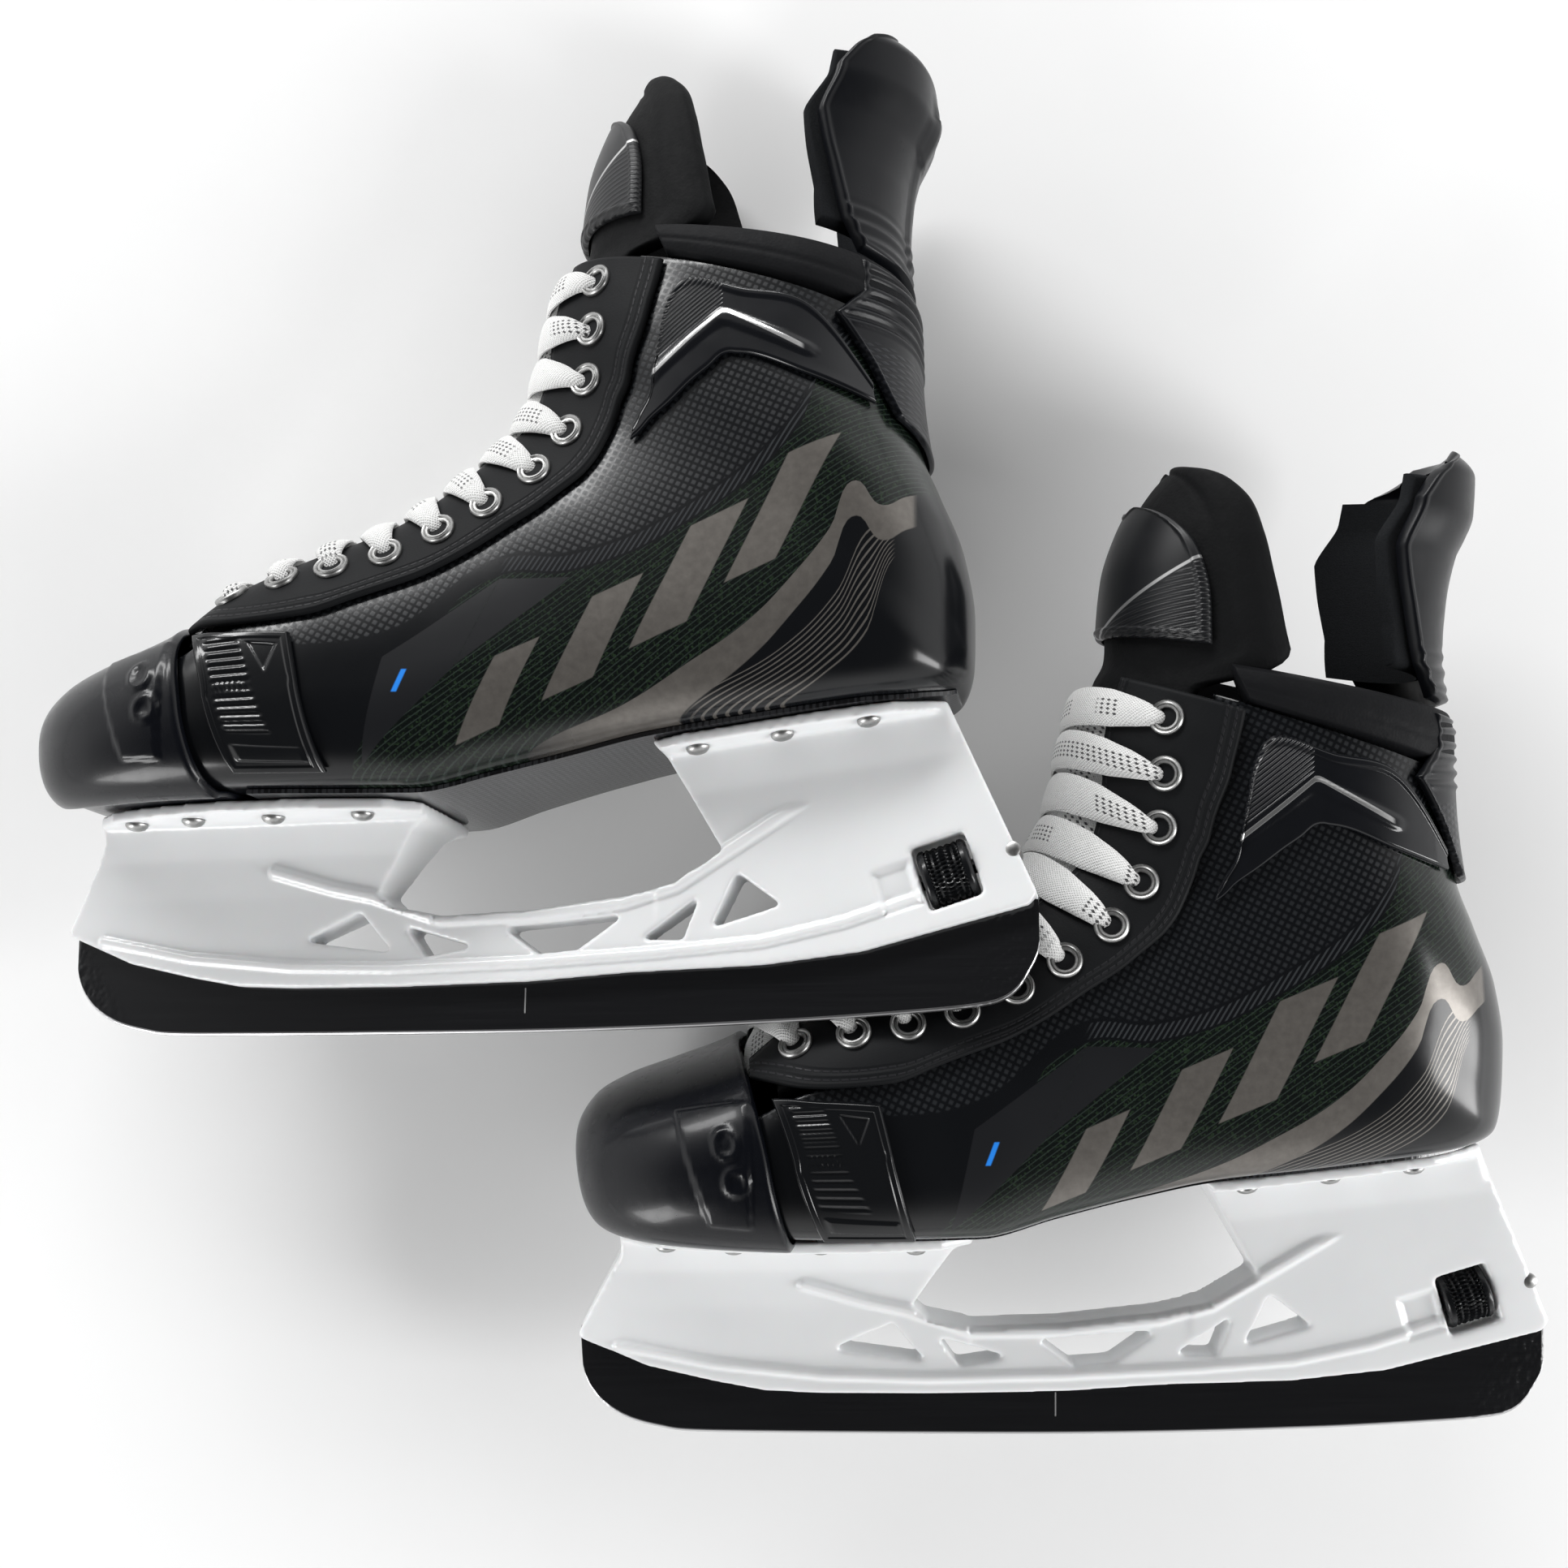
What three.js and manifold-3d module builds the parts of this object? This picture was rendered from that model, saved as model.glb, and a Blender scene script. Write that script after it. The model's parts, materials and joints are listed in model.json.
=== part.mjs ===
// A pair of senior ice hockey skates lying on their sides, the right one resting on the left.
// Each skate is drawn standing up in its own frame: x runs from toe (-) to heel (+), z is up
// from the ice, y is the wearer's right. The left skate is drawn and the right one mirrors it.
import * as THREE from 'three';
import { mergeVertices } from 'three/addons/utils/BufferGeometryUtils.js';
import Module from 'manifold-3d';

const wasm = await Module();
wasm.setup();

// ---- driving dimensions, mm and degrees --------------------------------------------------
const bootLength = 286;          // heel to toe
const bootRise = 236;            // sole to the tip of the tendon guard
const bootWidth = 104;           // across the ball of the foot
const holderHeight = 70;         // ice to sole
const fit = 0.3;                 // gap between machined pieces that touch
const layerGap = 0.9;            // gap between curved layers
const shellWall = 3.2;
const linerWall = 3;
const stripThickness = 0.8;      // clinch plates and eyelet tape
const trimWall = 2;              // eyestays, guards and panels outside the shell
const outsoleWall = 1.3;
const footbedWall = 3;
const eyeletDiameter = 10.8;
const eyeletShank = 6;
const laceThickness = 1.3;
const steelThickness = 3;
const steelSeat = 2;             // depth of the steel in the holder's slot
const trussHalf = 6.5;           // half the holder's thickness at its lower rail
const flangeThickness = 3.6;
const rivetShank = 4;
const rivetHead = 7;
const dialDiameter = 18;
const dialLength = 15;
const boltDiameter = 4.6;
const dialTilt = 17;             // the lock's axis rises toward the heel
const hookTravelSpace = 2.2;     // room in front of the draw bolt's hook
const tabOverlap = 1.2;          // how far the steel's rear tab reaches over the hook's nose
const tabRise = 4.4;             // top of that tab above the nose
const tapeWidth = 6;             // tape behind each row of eyelets
const eyeletHead = 0.5;          // thickness of an eyelet's head
const rivetHeadDepth = 1.5;

// The outlines below are drawn for this boot, and stretch with the driving dimensions.
const drawn = { length: 286, rise: 236, width: 104, sole: 70 };
const X = (x) => x * bootLength / drawn.length;
const Y = (y) => y * bootWidth / drawn.width;
const Z = (z) => (z < drawn.sole
  ? z * holderHeight / drawn.sole
  : holderHeight + (z - drawn.sole) * bootRise / drawn.rise);

// ---- the boot's form ----------------------------------------------------------------------
// Rungs climb from the toe, over the heel and up the leg. Each joins a point of the sole or
// back line to one of the top or front line, and carries the section across it.
// [back x, z, front x, z, half width, half sole, height of widest, shift inward, squareness]
const rungs = [
  [-148.5, 81, -150.5, 90, 7, 0, 0.5, 8, 2],
  [-147, 76, -150, 96, 19, 8, 0.45, 8, 2.1],
  [-143, 72.4, -146, 103, 29.5, 18, 0.42, 7.5, 2.2],
  [-134, 70.7, -137, 108.3, 38.5, 26, 0.4, 7, 2.3],
  [-118, 70.2, -121, 114, 46.5, 32, 0.38, 6, 2.4],
  [-98, 70.2, -103, 121, 50.5, 36, 0.38, 4.5, 2.5],
  [-78, 70.2, -86, 134, 52, 37, 0.38, 3, 2.7],
  [-50, 70.2, -64, 144.5, 51.5, 34, 0.37, 1.5, 2.8],
  [-29, 70.2, -50, 150, 49.5, 31, 0.37, 1, 2.8],
  [-5, 75.8, -38, 156, 47, 27, 0.38, 0, 2.8],
  [20, 81.6, -27, 164, 45, 25, 0.38, 0, 2.8],
  [41, 86, -18, 172, 43.5, 25, 0.38, 0, 2.8],
  [70, 89.4, -10, 181, 43, 26, 0.38, 0, 2.7],
  [100, 92.9, -5, 189, 42.5, 25, 0.38, 0, 2.6],
  [120, 95.3, -2.5, 195.5, 42.5, 19, 0.38, 0, 2.6],
  [131, 98.6, -0.5, 202, 42.5, 9, 0.38, 0, 2.6],
  [135.5, 108, 1, 208, 42.5, 0, 0.39, 0, 2.6],
  [136, 124, 2, 214, 43, 0, 0.4, 0, 2.5],
  [133.5, 142, 3.5, 220, 43.5, 0, 0.42, 0, 2.5],
  [127, 160, 5, 226.5, 43.5, 0, 0.44, 0, 2.4],
  [121, 177, 7, 233, 43, 0, 0.46, 0, 2.3],
  [118.5, 200, 9.5, 239.5, 42, 0, 0.48, 0, 2.2],
  [118, 222, 12.5, 246, 41, 0, 0.5, 0, 2.2],
  [115.8, 246, 13, 257, 40.5, 0, 0.5, 0, 2.2],
  [117, 262, 14.5, 271, 40, 0, 0.5, 0, 2.2],
  [120, 276, 19, 285, 39.5, 0, 0.5, 0, 2.2],
  [125.5, 289, 25, 296, 39, 0, 0.5, 0, 2.2],
  [126, 300, 31, 303.5, 38.5, 0, 0.5, 0, 2.2],
  [119, 306.5, 36, 307, 38, 0, 0.5, 0, 2.2],
].map(([bx, bz, fx, fz, half, sole, widest, shift, square]) => [
  X(bx), Z(bz), X(fx), Z(fz), Y(half), Y(sole), widest, Y(shift), square]);
const lastRung = rungs.length - 1;
const pinSides = 6;              // flats on rivets, their holes and the eyelets' heads
const shankSides = 4;            // flats on the eyelets' shanks and their holes
const flatSole = 0.2;            // girth from the centre of a full sole to its edge
const fullSole = Y(20);          // half width of a full sole
const shellSteps = 4;            // facets up each wall of the shell, a multiple of the liner's
const linerSteps = 2;
const widestShare = 0.5;         // girth at the widest point

// A cubic that never overshoots its rungs.
function slopeAt(column, k) {
  if (k <= 0 || k >= lastRung) return 0;
  const before = rungs[k][column] - rungs[k - 1][column];
  const after = rungs[k + 1][column] - rungs[k][column];
  return before * after <= 0 ? 0 : 2 * before * after / (before + after);
}

function valueAt(column, u) {
  const k = Math.min(Math.max(Math.floor(u), 0), lastRung - 1);
  const t = u - k;
  const from = rungs[k][column];
  const to = rungs[k + 1][column];
  const ends = from + (to - from) * t * t * (3 - 2 * t);
  return ends + slopeAt(column, k) * t * (1 - t) ** 2 - slopeAt(column, k + 1) * t * t * (1 - t);
}

function rungAt(u) {
  const [backX, backZ, frontX, frontZ, half, sole, widest, shift, square] =
    rungs[0].map((_, column) => valueAt(column, u));
  const soleShare = flatSole * Math.min(sole / fullSole, 1);
  return { backX, backZ, frontX, frontZ, half, sole, widest, shift, square, soleShare };
}

const soleSquare = 2.4;

// Point of the form at rung u and signed girth t: 0 is the sole's centre, +-1 the top's.
function formPoint(u, t) {
  const rung = rungAt(u);
  let side = t < 0 ? -1 : 1;
  let girth = Math.abs(t);
  if (girth > 1) {
    girth = 2 - girth;
    side = -side;
  }
  const { soleShare } = rung;
  let along = 0;
  let half = girth > 0 ? rung.sole * girth / soleShare : 0;
  if (girth > widestShare) {
    const turn = (girth - widestShare) / (1 - widestShare) * Math.PI / 2;
    along = rung.widest + (1 - rung.widest) * Math.sin(turn) ** (2 / rung.square);
    half = rung.half * Math.max(Math.cos(turn), 0) ** (2 / rung.square);
  } else if (girth > soleShare) {
    const turn = (girth - soleShare) / (widestShare - soleShare) * Math.PI / 2;
    along = rung.widest * (1 - Math.max(Math.cos(turn), 0) ** (2 / soleSquare));
    half = rung.sole + (rung.half - rung.sole) * Math.sin(turn) ** (2 / soleSquare);
  }
  return new THREE.Vector3(
    rung.backX + (rung.frontX - rung.backX) * along,
    side * half + rung.shift,
    rung.backZ + (rung.frontZ - rung.backZ) * along);
}

// The same point moved out along the form's normal.
function skinPoint(u, t, lift) {
  const step = 0.02;
  const low = Math.max(u - step, 0);
  const high = Math.min(u + step, lastRung);
  const along = formPoint(high, t).sub(formPoint(low, t));
  const around = formPoint(u, t + step).sub(formPoint(u, t - step));
  const normal = along.cross(around).normalize();
  const point = formPoint(u, t);
  const rung = rungAt(u);
  const middle = new THREE.Vector3(
    (rung.backX + rung.frontX) / 2, rung.shift, (rung.backZ + rung.frontZ) / 2);
  if (normal.dot(point.clone().sub(middle)) < 0) normal.negate();
  return point.addScaledVector(normal, lift);
}

// Rung and girth of a point given in side view.
function spot(x, z) {
  const px = X(x);
  const pz = Z(z);
  const miss = (u) => {
    const r = rungAt(u);
    return (r.frontX - r.backX) * (pz - r.backZ) - (r.frontZ - r.backZ) * (px - r.backX);
  };
  const shareAt = (u) => {
    const r = rungAt(u);
    const run = new THREE.Vector2(r.frontX - r.backX, r.frontZ - r.backZ);
    return run.dot(new THREE.Vector2(px - r.backX, pz - r.backZ)) / run.lengthSq();
  };
  for (let k = 0; k < lastRung * 4; k += 1) {
    let low = k / 4;
    let high = low + 0.25;
    if (miss(low) * miss(high) > 0) continue;
    for (let n = 0; n < 30; n += 1) {
      const mid = (low + high) / 2;
      if (miss(low) * miss(mid) <= 0) high = mid;
      else low = mid;
    }
    const share = shareAt(low);
    if (share < -0.1 || share > 1.1) continue;
    const r = rungAt(low);
    const along = Math.min(Math.max(share, 0), 1);
    if (along >= r.widest) {
      const turn = Math.asin(((along - r.widest) / (1 - r.widest)) ** (r.square / 2));
      return [low, widestShare + (1 - widestShare) * turn / (Math.PI / 2)];
    }
    const turn = Math.acos((1 - along / r.widest) ** (soleSquare / 2));
    return [low, r.soleShare + (widestShare - r.soleShare) * turn / (Math.PI / 2)];
  }
  throw new Error(`no rung through ${x}, ${z}`);
}

// Girth, from the sole, at which the form is this far from its centre line near the top.
function girthAtHalf(u, half) {
  const r = rungAt(u);
  const turn = Math.acos(Math.min(half / r.half, 1) ** (r.square / 2));
  return widestShare + (1 - widestShare) * turn / (Math.PI / 2);
}

// ---- building solids ------------------------------------------------------------------------
function geometryFrom(points, faces) {
  const geometry = new THREE.BufferGeometry();
  geometry.setAttribute('position',
    new THREE.Float32BufferAttribute(points.flatMap((p) => [p.x, p.y, p.z]), 3));
  let volume = 0;
  for (const [a, b, c] of faces) volume += points[a].dot(points[b].clone().cross(points[c]));
  geometry.setIndex(faces.flatMap(([a, b, c]) => (volume < 0 ? [a, c, b] : [a, b, c])));
  return geometry;
}

// A sheet with thickness: place(i, j, lift) gives points for i and j from 0 to 1.
function thickSheet(columns, rows, outer, inner, place, loops = false) {
  const points = [];
  const faces = [];
  const across = loops ? rows : rows + 1;
  for (const lift of [outer, inner]) {
    for (let i = 0; i <= columns; i += 1) {
      for (let j = 0; j < across; j += 1) points.push(place(i / columns, j / rows, lift));
    }
  }
  const layer = (columns + 1) * across;
  const id = (level, i, j) => level * layer + i * across + (j % across);
  const quad = (a, b, c, d) => faces.push([a, b, c], [a, c, d]);
  for (let i = 0; i < columns; i += 1) {
    for (let j = 0; j < rows; j += 1) {
      quad(id(0, i, j), id(0, i + 1, j), id(0, i + 1, j + 1), id(0, i, j + 1));
      quad(id(1, i, j), id(1, i, j + 1), id(1, i + 1, j + 1), id(1, i + 1, j));
    }
    if (!loops) {
      quad(id(0, i, 0), id(1, i, 0), id(1, i + 1, 0), id(0, i + 1, 0));
      quad(id(0, i, rows), id(0, i + 1, rows), id(1, i + 1, rows), id(1, i, rows));
    }
  }
  for (let j = 0; j < rows; j += 1) {
    quad(id(0, 0, j), id(0, 0, j + 1), id(1, 0, j + 1), id(1, 0, j));
    quad(id(0, columns, j), id(1, columns, j), id(1, columns, j + 1), id(0, columns, j + 1));
  }
  return geometryFrom(points, faces);
}

// Value at share 0..1 along a list of rung and girth pairs.
function along(list, share) {
  const reach = share * (list.length - 1);
  const k = Math.min(Math.floor(reach), list.length - 2);
  return list[k].map((value, n) => value + (list[k + 1][n] - value) * (reach - k));
}

// The rungs that a piece is drawn at: its two ends and every whole rung well between them.
function rungSteps(first, last) {
  const steps = [first];
  for (let k = Math.ceil(first + 0.2); k < last - 0.2; k += 1) steps.push(k);
  return [...steps, last];
}

// A sheet wrapped round the form: girthAt(u, j) gives the signed girth for j from 0 to 1.
function wrapped(first, last, rows, outer, inner, girthAt) {
  const steps = rungSteps(first, last);
  return thickSheet(steps.length - 1, rows, outer, inner, (i, j, lift) => {
    const u = steps[Math.round(i * (steps.length - 1))];
    return skinPoint(u, girthAt(u, j), lift);
  });
}

// A panel on one side of the boot between two side-view outlines, front to back.
function panel(side, lower, upper, columns, rows, outer, inner) {
  const low = lower.map((p) => spot(...p));
  const high = upper.map((p) => spot(...p));
  return thickSheet(columns, rows, outer, inner, (i, j, lift) => {
    const [u0, g0] = along(low, i);
    const [u1, g1] = along(high, i);
    return skinPoint(u0 + (u1 - u0) * j, side * (g0 + (g1 - g0) * j), lift);
  });
}

// Girth as a function of rung, through side-view points listed in rung order.
function edgeThrough(points) {
  const list = points.map((p) => spot(...p));
  return (u) => {
    let k = 0;
    while (k < list.length - 2 && list[k + 1][0] < u) k += 1;
    const share = (u - list[k][0]) / (list[k + 1][0] - list[k][0]);
    return list[k][1] + (list[k + 1][1] - list[k][1]) * Math.min(Math.max(share, 0), 1);
  };
}

function solid(geometry) {
  const bare = geometry.clone();
  bare.deleteAttribute('normal');
  bare.deleteAttribute('uv');
  const merged = mergeVertices(bare, 1e-4);
  return new wasm.Manifold(new wasm.Mesh({
    numProp: 3,
    vertProperties: Float32Array.from(merged.attributes.position.array),
    triVerts: Uint32Array.from(merged.index.array),
  }));
}

function geometryOf(manifold) {
  const mesh = manifold.getMesh();
  const geometry = new THREE.BufferGeometry();
  geometry.setAttribute('position', new THREE.Float32BufferAttribute(mesh.vertProperties, 3));
  geometry.setIndex(new THREE.Uint32BufferAttribute(mesh.triVerts, 1));
  return geometry;
}

const cutBy = (geometry, cutters) => geometryOf(
  cutters.reduce((left, cutter) => left.subtract(solid(cutter)), solid(geometry)));
const joined = (geometries) => geometryOf(
  geometries.slice(1).reduce((sum, next) => sum.add(solid(next)), solid(geometries[0])));

// A closed outline, always counterclockwise, so that its windows cut through.
function shapeOf(points) {
  const corners = points.map(([x, z]) => new THREE.Vector2(x, z));
  return new THREE.Shape(THREE.ShapeUtils.isClockWise(corners) ? corners.reverse() : corners);
}

// Side-view outline made as thick as 2 * half about the middle plane.
function sideExtrusion(shape, half) {
  const geometry = new THREE.ExtrudeGeometry(shape, { depth: 2 * half, bevelEnabled: false });
  return geometry.translate(0, 0, -half).rotateX(Math.PI / 2);
}

// Upright cylinder between two heights.
function post(x, y, bottom, top, radius, sides) {
  const geometry = new THREE.CylinderGeometry(radius, radius, top - bottom, sides);
  return geometry.rotateX(Math.PI / 2).translate(x, y, (top + bottom) / 2);
}

function box(x0, x1, y0, y1, z0, z1) {
  return new THREE.BoxGeometry(x1 - x0, y1 - y0, z1 - z0)
    .translate((x0 + x1) / 2, (y0 + y1) / 2, (z0 + z1) / 2);
}

// ---- rungs and lines that several pieces share ----------------------------------------------
const [capTopRung] = spot(-101, 119);
const capSoleRung = 5.85;        // the cap's rear edge underfoot
const jointRungs = 0.15;         // rungs left between pieces that follow on
const [collarRung] = spot(85, 219);
const [padTopRung] = spot(60, 238.5);
const guardFootRung = padTopRung + jointRungs;
const [shellFrontRung] = spot(-112, 100);
const tapeGirth = tapeWidth / 300;   // half the tape, as a share of the girth
const tapeShift = 0.004;         // girth that keeps the tape clear of the shell's rim
const eyelets = [
  [-83.3, 126.7], [-66.7, 130.8], [-51.4, 133.7], [-35.2, 137.9], [-19.2, 145], [-4.8, 153],
  [9.2, 163.2], [18.8, 176.2], [24.5, 192.8], [26.2, 209], [27, 225.2],
].map((p) => spot(...p));
const rimLine = edgeThrough([[-110, 104], [-90, 112], [-66, 120.5], [-35, 128], [-4, 143],
  [14, 155], [29, 172], [35, 192], [37, 210], [39, 229]]);
const throatHalf = (u) => Y(THREE.MathUtils.clamp(30 - (u - 6) * 0.55, 20, 30));

// ---- boot pieces ------------------------------------------------------------------------------
const shellOut = 0;
const shellIn = shellOut - shellWall;
const clinchTop = shellIn - fit - stripThickness;
const linerOut = clinchTop - fit;
const linerIn = linerOut - linerWall;
const trimIn = layerGap;
const trimOut = trimIn + trimWall;
const tongueOut = -1.6;
const tongueWall = 4;
const guardOut = 1.8;
const guardIn = -1.4;
const guardFeltWall = 4;
const laceIn = trimOut + 4.5;    // clears the edge of the eyestays
const tabDrop = 1;               // the tabs sit closer, on the eyelets' heads
const tapeDrop = 0.6;            // the eyelets' tape lies this far inside the shell's face
const capLift = 0.5;             // the toe cap stands this much proud of the trim

// Signed girth round a bowl with a flat sole and the same number of steps up each wall.
const bowl = (steps) => (u, j) => {
  const k = Math.round(j * (2 * steps + 1)) - steps;
  const sole = Math.max(rungAt(u).soleShare, 0.03);
  const rise = (rimLine(u) - sole) / steps;
  return k <= 0 ? -sole + rise * k : sole + rise * (k - 1);
};

const bootShell = () => wrapped(
  shellFrontRung, collarRung, 2 * shellSteps + 1, shellOut, shellIn, bowl(shellSteps));

const bootLiner = () => wrapped(
  shellFrontRung, collarRung, 2 * linerSteps + 1, linerOut, linerIn, bowl(linerSteps));

// The toe cap closes to a point at the nose, so its two skins are cups joined at the rear edge.
function toeCap() {
  const rings = 7;
  const girths = [0, flatSole, 0.3, 0.4, widestShare, 0.63, 0.76, 0.88, 1];
  const around = 2 * (girths.length - 1);
  const points = [];
  const faces = [];
  const nose = rungAt(0);
  for (const level of [0, 1]) {
    const lift = level ? trimIn + capLift : trimOut + 2 * capLift;
    const first = points.length;
    points.push(new THREE.Vector3(
      Math.min(nose.backX, nose.frontX) - lift, nose.shift, (nose.backZ + nose.frontZ) / 2));
    for (let i = 1; i <= rings; i += 1) {
      for (let j = 0; j < around; j += 1) {
        const side = j < around / 2 ? -1 : 1;
        const girth = girths[Math.abs(j - around / 2)];
        const t = side * girth;
        const rear = capSoleRung + (capTopRung - capSoleRung) * girth;
        const underfoot = level ? fit : fit + outsoleWall;
        points.push(skinPoint(rear * (i / rings) ** 1.3, t, girth > flatSole ? lift : underfoot));
      }
    }
    const id = (i, j) => first + 1 + (i - 1) * around + (j % around);
    const push = (a, b, c) => faces.push(level ? [a, c, b] : [a, b, c]);
    for (let j = 0; j < around; j += 1) {
      push(first, id(1, j), id(1, j + 1));
      for (let i = 1; i < rings; i += 1) {
        push(id(i, j), id(i + 1, j), id(i + 1, j + 1));
        push(id(i, j), id(i + 1, j + 1), id(i, j + 1));
      }
    }
  }
  const skin = points.length / 2;
  const rim = (level, j) => level * skin + 1 + (rings - 1) * around + (j % around);
  for (let j = 0; j < around; j += 1) {
    faces.push([rim(0, j), rim(1, j), rim(1, j + 1)], [rim(0, j), rim(1, j + 1), rim(0, j + 1)]);
  }
  return geometryFrom(points, faces);
}

function outsole() {
  const steps = rungSteps(capSoleRung + jointRungs, 15);
  return thickSheet(steps.length - 1, 2, -fit, -fit - outsoleWall, (i, j, drop) => {
    const r = rungAt(steps[Math.round(i * (steps.length - 1))]);
    return new THREE.Vector3(r.backX, r.shift + (2 * j - 1) * (r.sole - 1), r.backZ + drop);
  });
}

const footbedTop = linerIn - fit;
const footbed = () => wrapped(shellFrontRung, 14, 2, footbedTop, footbedTop - footbedWall,
  (u, j) => flatSole * 0.65 * (2 * j - 1));

function sideGuard(side) {
  return panel(side,
    [[-76.5, 73.5], [-66, 73.5], [-57, 73.5], [-49.3, 73.5]],
    [[-91, 113], [-80.4, 113.5], [-70, 113.5], [-60, 113]],
    6, 4, trimOut - 0.2, trimIn);
}

function eyestayBlank(side) {
  const lower = [[-97, 117], [-82, 116.5], [-57.6, 118.5], [-40, 124.5], [-20, 132], [5, 147],
    [24, 161], [33, 176], [39, 193], [44, 209], [48.5, 228]].map((p) => spot(...p));
  const upperEnd = spot(11, 240)[0];
  return thickSheet(12, 3, trimOut, trimIn, (i, j, lift) => {
    const [u0, g0] = along(lower, i);
    const u1 = lower[0][0] + (upperEnd - lower[0][0]) * i;
    const g1 = girthAtHalf(u1, throatHalf(u1));
    return skinPoint(u0 + (u1 - u0) * j, side * (g0 + (g1 - g0) * j), lift);
  });
}

// A cylinder square to the boot's skin, from one lift to another.
function skinPin(u, t, from, to, radius, sides) {
  const start = skinPoint(u, t, from);
  const end = skinPoint(u, t, to);
  const axis = end.clone().sub(start).normalize();
  const geometry = new THREE.CylinderGeometry(radius, radius, start.distanceTo(end), sides);
  geometry.applyQuaternion(new THREE.Quaternion().setFromUnitVectors(
    new THREE.Vector3(0, 1, 0), axis));
  const middle = start.add(end).multiplyScalar(0.5);
  return geometry.translate(middle.x, middle.y, middle.z);
}

function eyestay(side) {
  const holes = eyelets.map(([u, g]) => skinPin(
    u, side * g, -1, trimOut + 1, eyeletShank / 2 + fit + 0.3, shankSides));
  return cutBy(eyestayBlank(side), holes);
}

// Eyelets hold to a thin tape behind the eyestay, so the row is one piece.
function eyeletRow(side) {
  const tapeOut = shellOut - tapeDrop;
  const headFoot = trimOut + layerGap;
  const tape = thickSheet(10, 1, tapeOut, tapeOut - stripThickness, (i, j, lift) => {
    const [u, g] = along(eyelets, i);
    return skinPoint(u, side * (g + (2 * j - 1) * tapeGirth + tapeShift), lift);
  });
  const rings = eyelets.map(([u, g]) => joined([
    skinPin(u, side * g, tapeOut - stripThickness / 2, headFoot + eyeletHead / 2,
      eyeletShank / 2, shankSides),
    skinPin(u, side * g, headFoot, headFoot + eyeletHead, eyeletDiameter / 2, pinSides),
  ]));
  return joined([tape, ...rings]);
}

// The laced-up front: one band across the throat with a tab out to every eyelet.
function lace() {
  const columns = 2 * (eyelets.length - 1);
  return thickSheet(columns, 8, laceIn + laceThickness, laceIn, (i, j, lift) => {
    const [u, g] = along(eyelets, i);
    const isTab = Math.round(i * columns) % 2 === 0;
    const reach = isTab ? 1 - g : 1 - girthAtHalf(u, throatHalf(u) - 2);
    const drop = j === 0 || j === 1 ? tabDrop : 0;
    return skinPoint(u, 1 + (2 * j - 1) * reach, lift - drop);
  });
}

// The tongue spans the top of the form between the rims, and above the collar wraps the shin.
function tongueLower() {
  const [first] = spot(-93, 126);
  const reach = (u) => 0.965 - rimLine(u);
  return wrapped(first, padTopRung - 0.05, 4, tongueOut, tongueOut - tongueWall,
    (u, j) => 1 + (2 * j - 1) * reach(u));
}

function tongueUpper() {
  const first = padTopRung + 0.1;
  const last = lastRung - 1.6;
  const reach = (u) => 0.5 - 0.12 * ((u - first) / (last - first)) ** 2;
  return wrapped(first, last, 8, tongueOut, tongueOut - tongueWall,
    (u, j) => 1 + (2 * j - 1) * reach(u));
}

function tongueShield() {
  const first = padTopRung + 0.35;
  const last = lastRung - 1.9;
  const reach = (u) => 0.33 - 0.08 * ((u - first) / (last - first)) ** 2;
  return wrapped(first, last, 6, 1.4, tongueOut + layerGap,
    (u, j) => 1 + (2 * j - 1) * reach(u));
}

function collarPad() {
  const front = edgeThrough([[48.5, 229], [43.5, 240]]);
  return wrapped(collarRung + 0.08, padTopRung, 14, 0, linerIn,
    (u, j) => (front(u) - 0.01) * (2 * j - 1));
}

function anklePanel(side) {
  return panel(side,
    [[39, 171], [50, 180], [63, 190], [74, 193.5], [92, 186.5], [110, 180]],
    [[40, 175], [48, 200], [54, 219], [74, 215], [92, 210], [109, 186]],
    8, 3, trimOut - 0.4, trimIn);
}

// The base, guard and felt wrap the heel and the back of the leg.
function tendonBase() {
  const reach = edgeThrough([[116, 176], [108, 193], [99, 208], [106, 217]]);
  const [first] = spot(122, 174);
  return wrapped(first, guardFootRung - 0.2, 10, trimOut + 0.2, trimIn + 0.4,
    (u, j) => (2 * j - 1) * reach(u));
}

function tendonGuard() {
  const edge = edgeThrough([[108, 228], [102, 242], [98, 260], [95, 277], [101, 292],
    [108, 302], [112, 305]]);
  return wrapped(guardFootRung, lastRung, 8, guardOut, guardIn,
    (u, j) => (2 * j - 1) * edge(u));
}

function tendonLiner() {
  const felt = edgeThrough([[97, 231], [95, 254], [91, 279], [99, 292]]);
  const out = guardIn - layerGap;
  return wrapped(guardFootRung + 0.35, lastRung - 1.2, 8, out, out - guardFeltWall,
    (u, j) => (2 * j - 1) * felt(u));
}

// ---- holder, steel and lock -------------------------------------------------------------------
const frontFlange = { from: X(-138.7), to: X(-30), top: holderHeight + 0.2 - outsoleWall - 2 * fit };
const rearSlope = (rungs[13][1] - rungs[11][1]) / (rungs[13][0] - rungs[11][0]);
const rearFlange = {
  from: X(41), to: X(128.3), top: rungs[11][1] - outsoleWall - 2 * fit - 0.1,
};
// Lifts what is drawn level at the front of the rear flange so that it follows the heel.
function onHeelSlope(geometry) {
  const lean = new THREE.Matrix4().set(
    1, 0, 0, 0,
    0, 1, 0, 0,
    rearSlope, 0, 1, rearFlange.top - rearSlope * rearFlange.from,
    0, 0, 0, 1);
  return geometry.applyMatrix4(lean);
}

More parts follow.
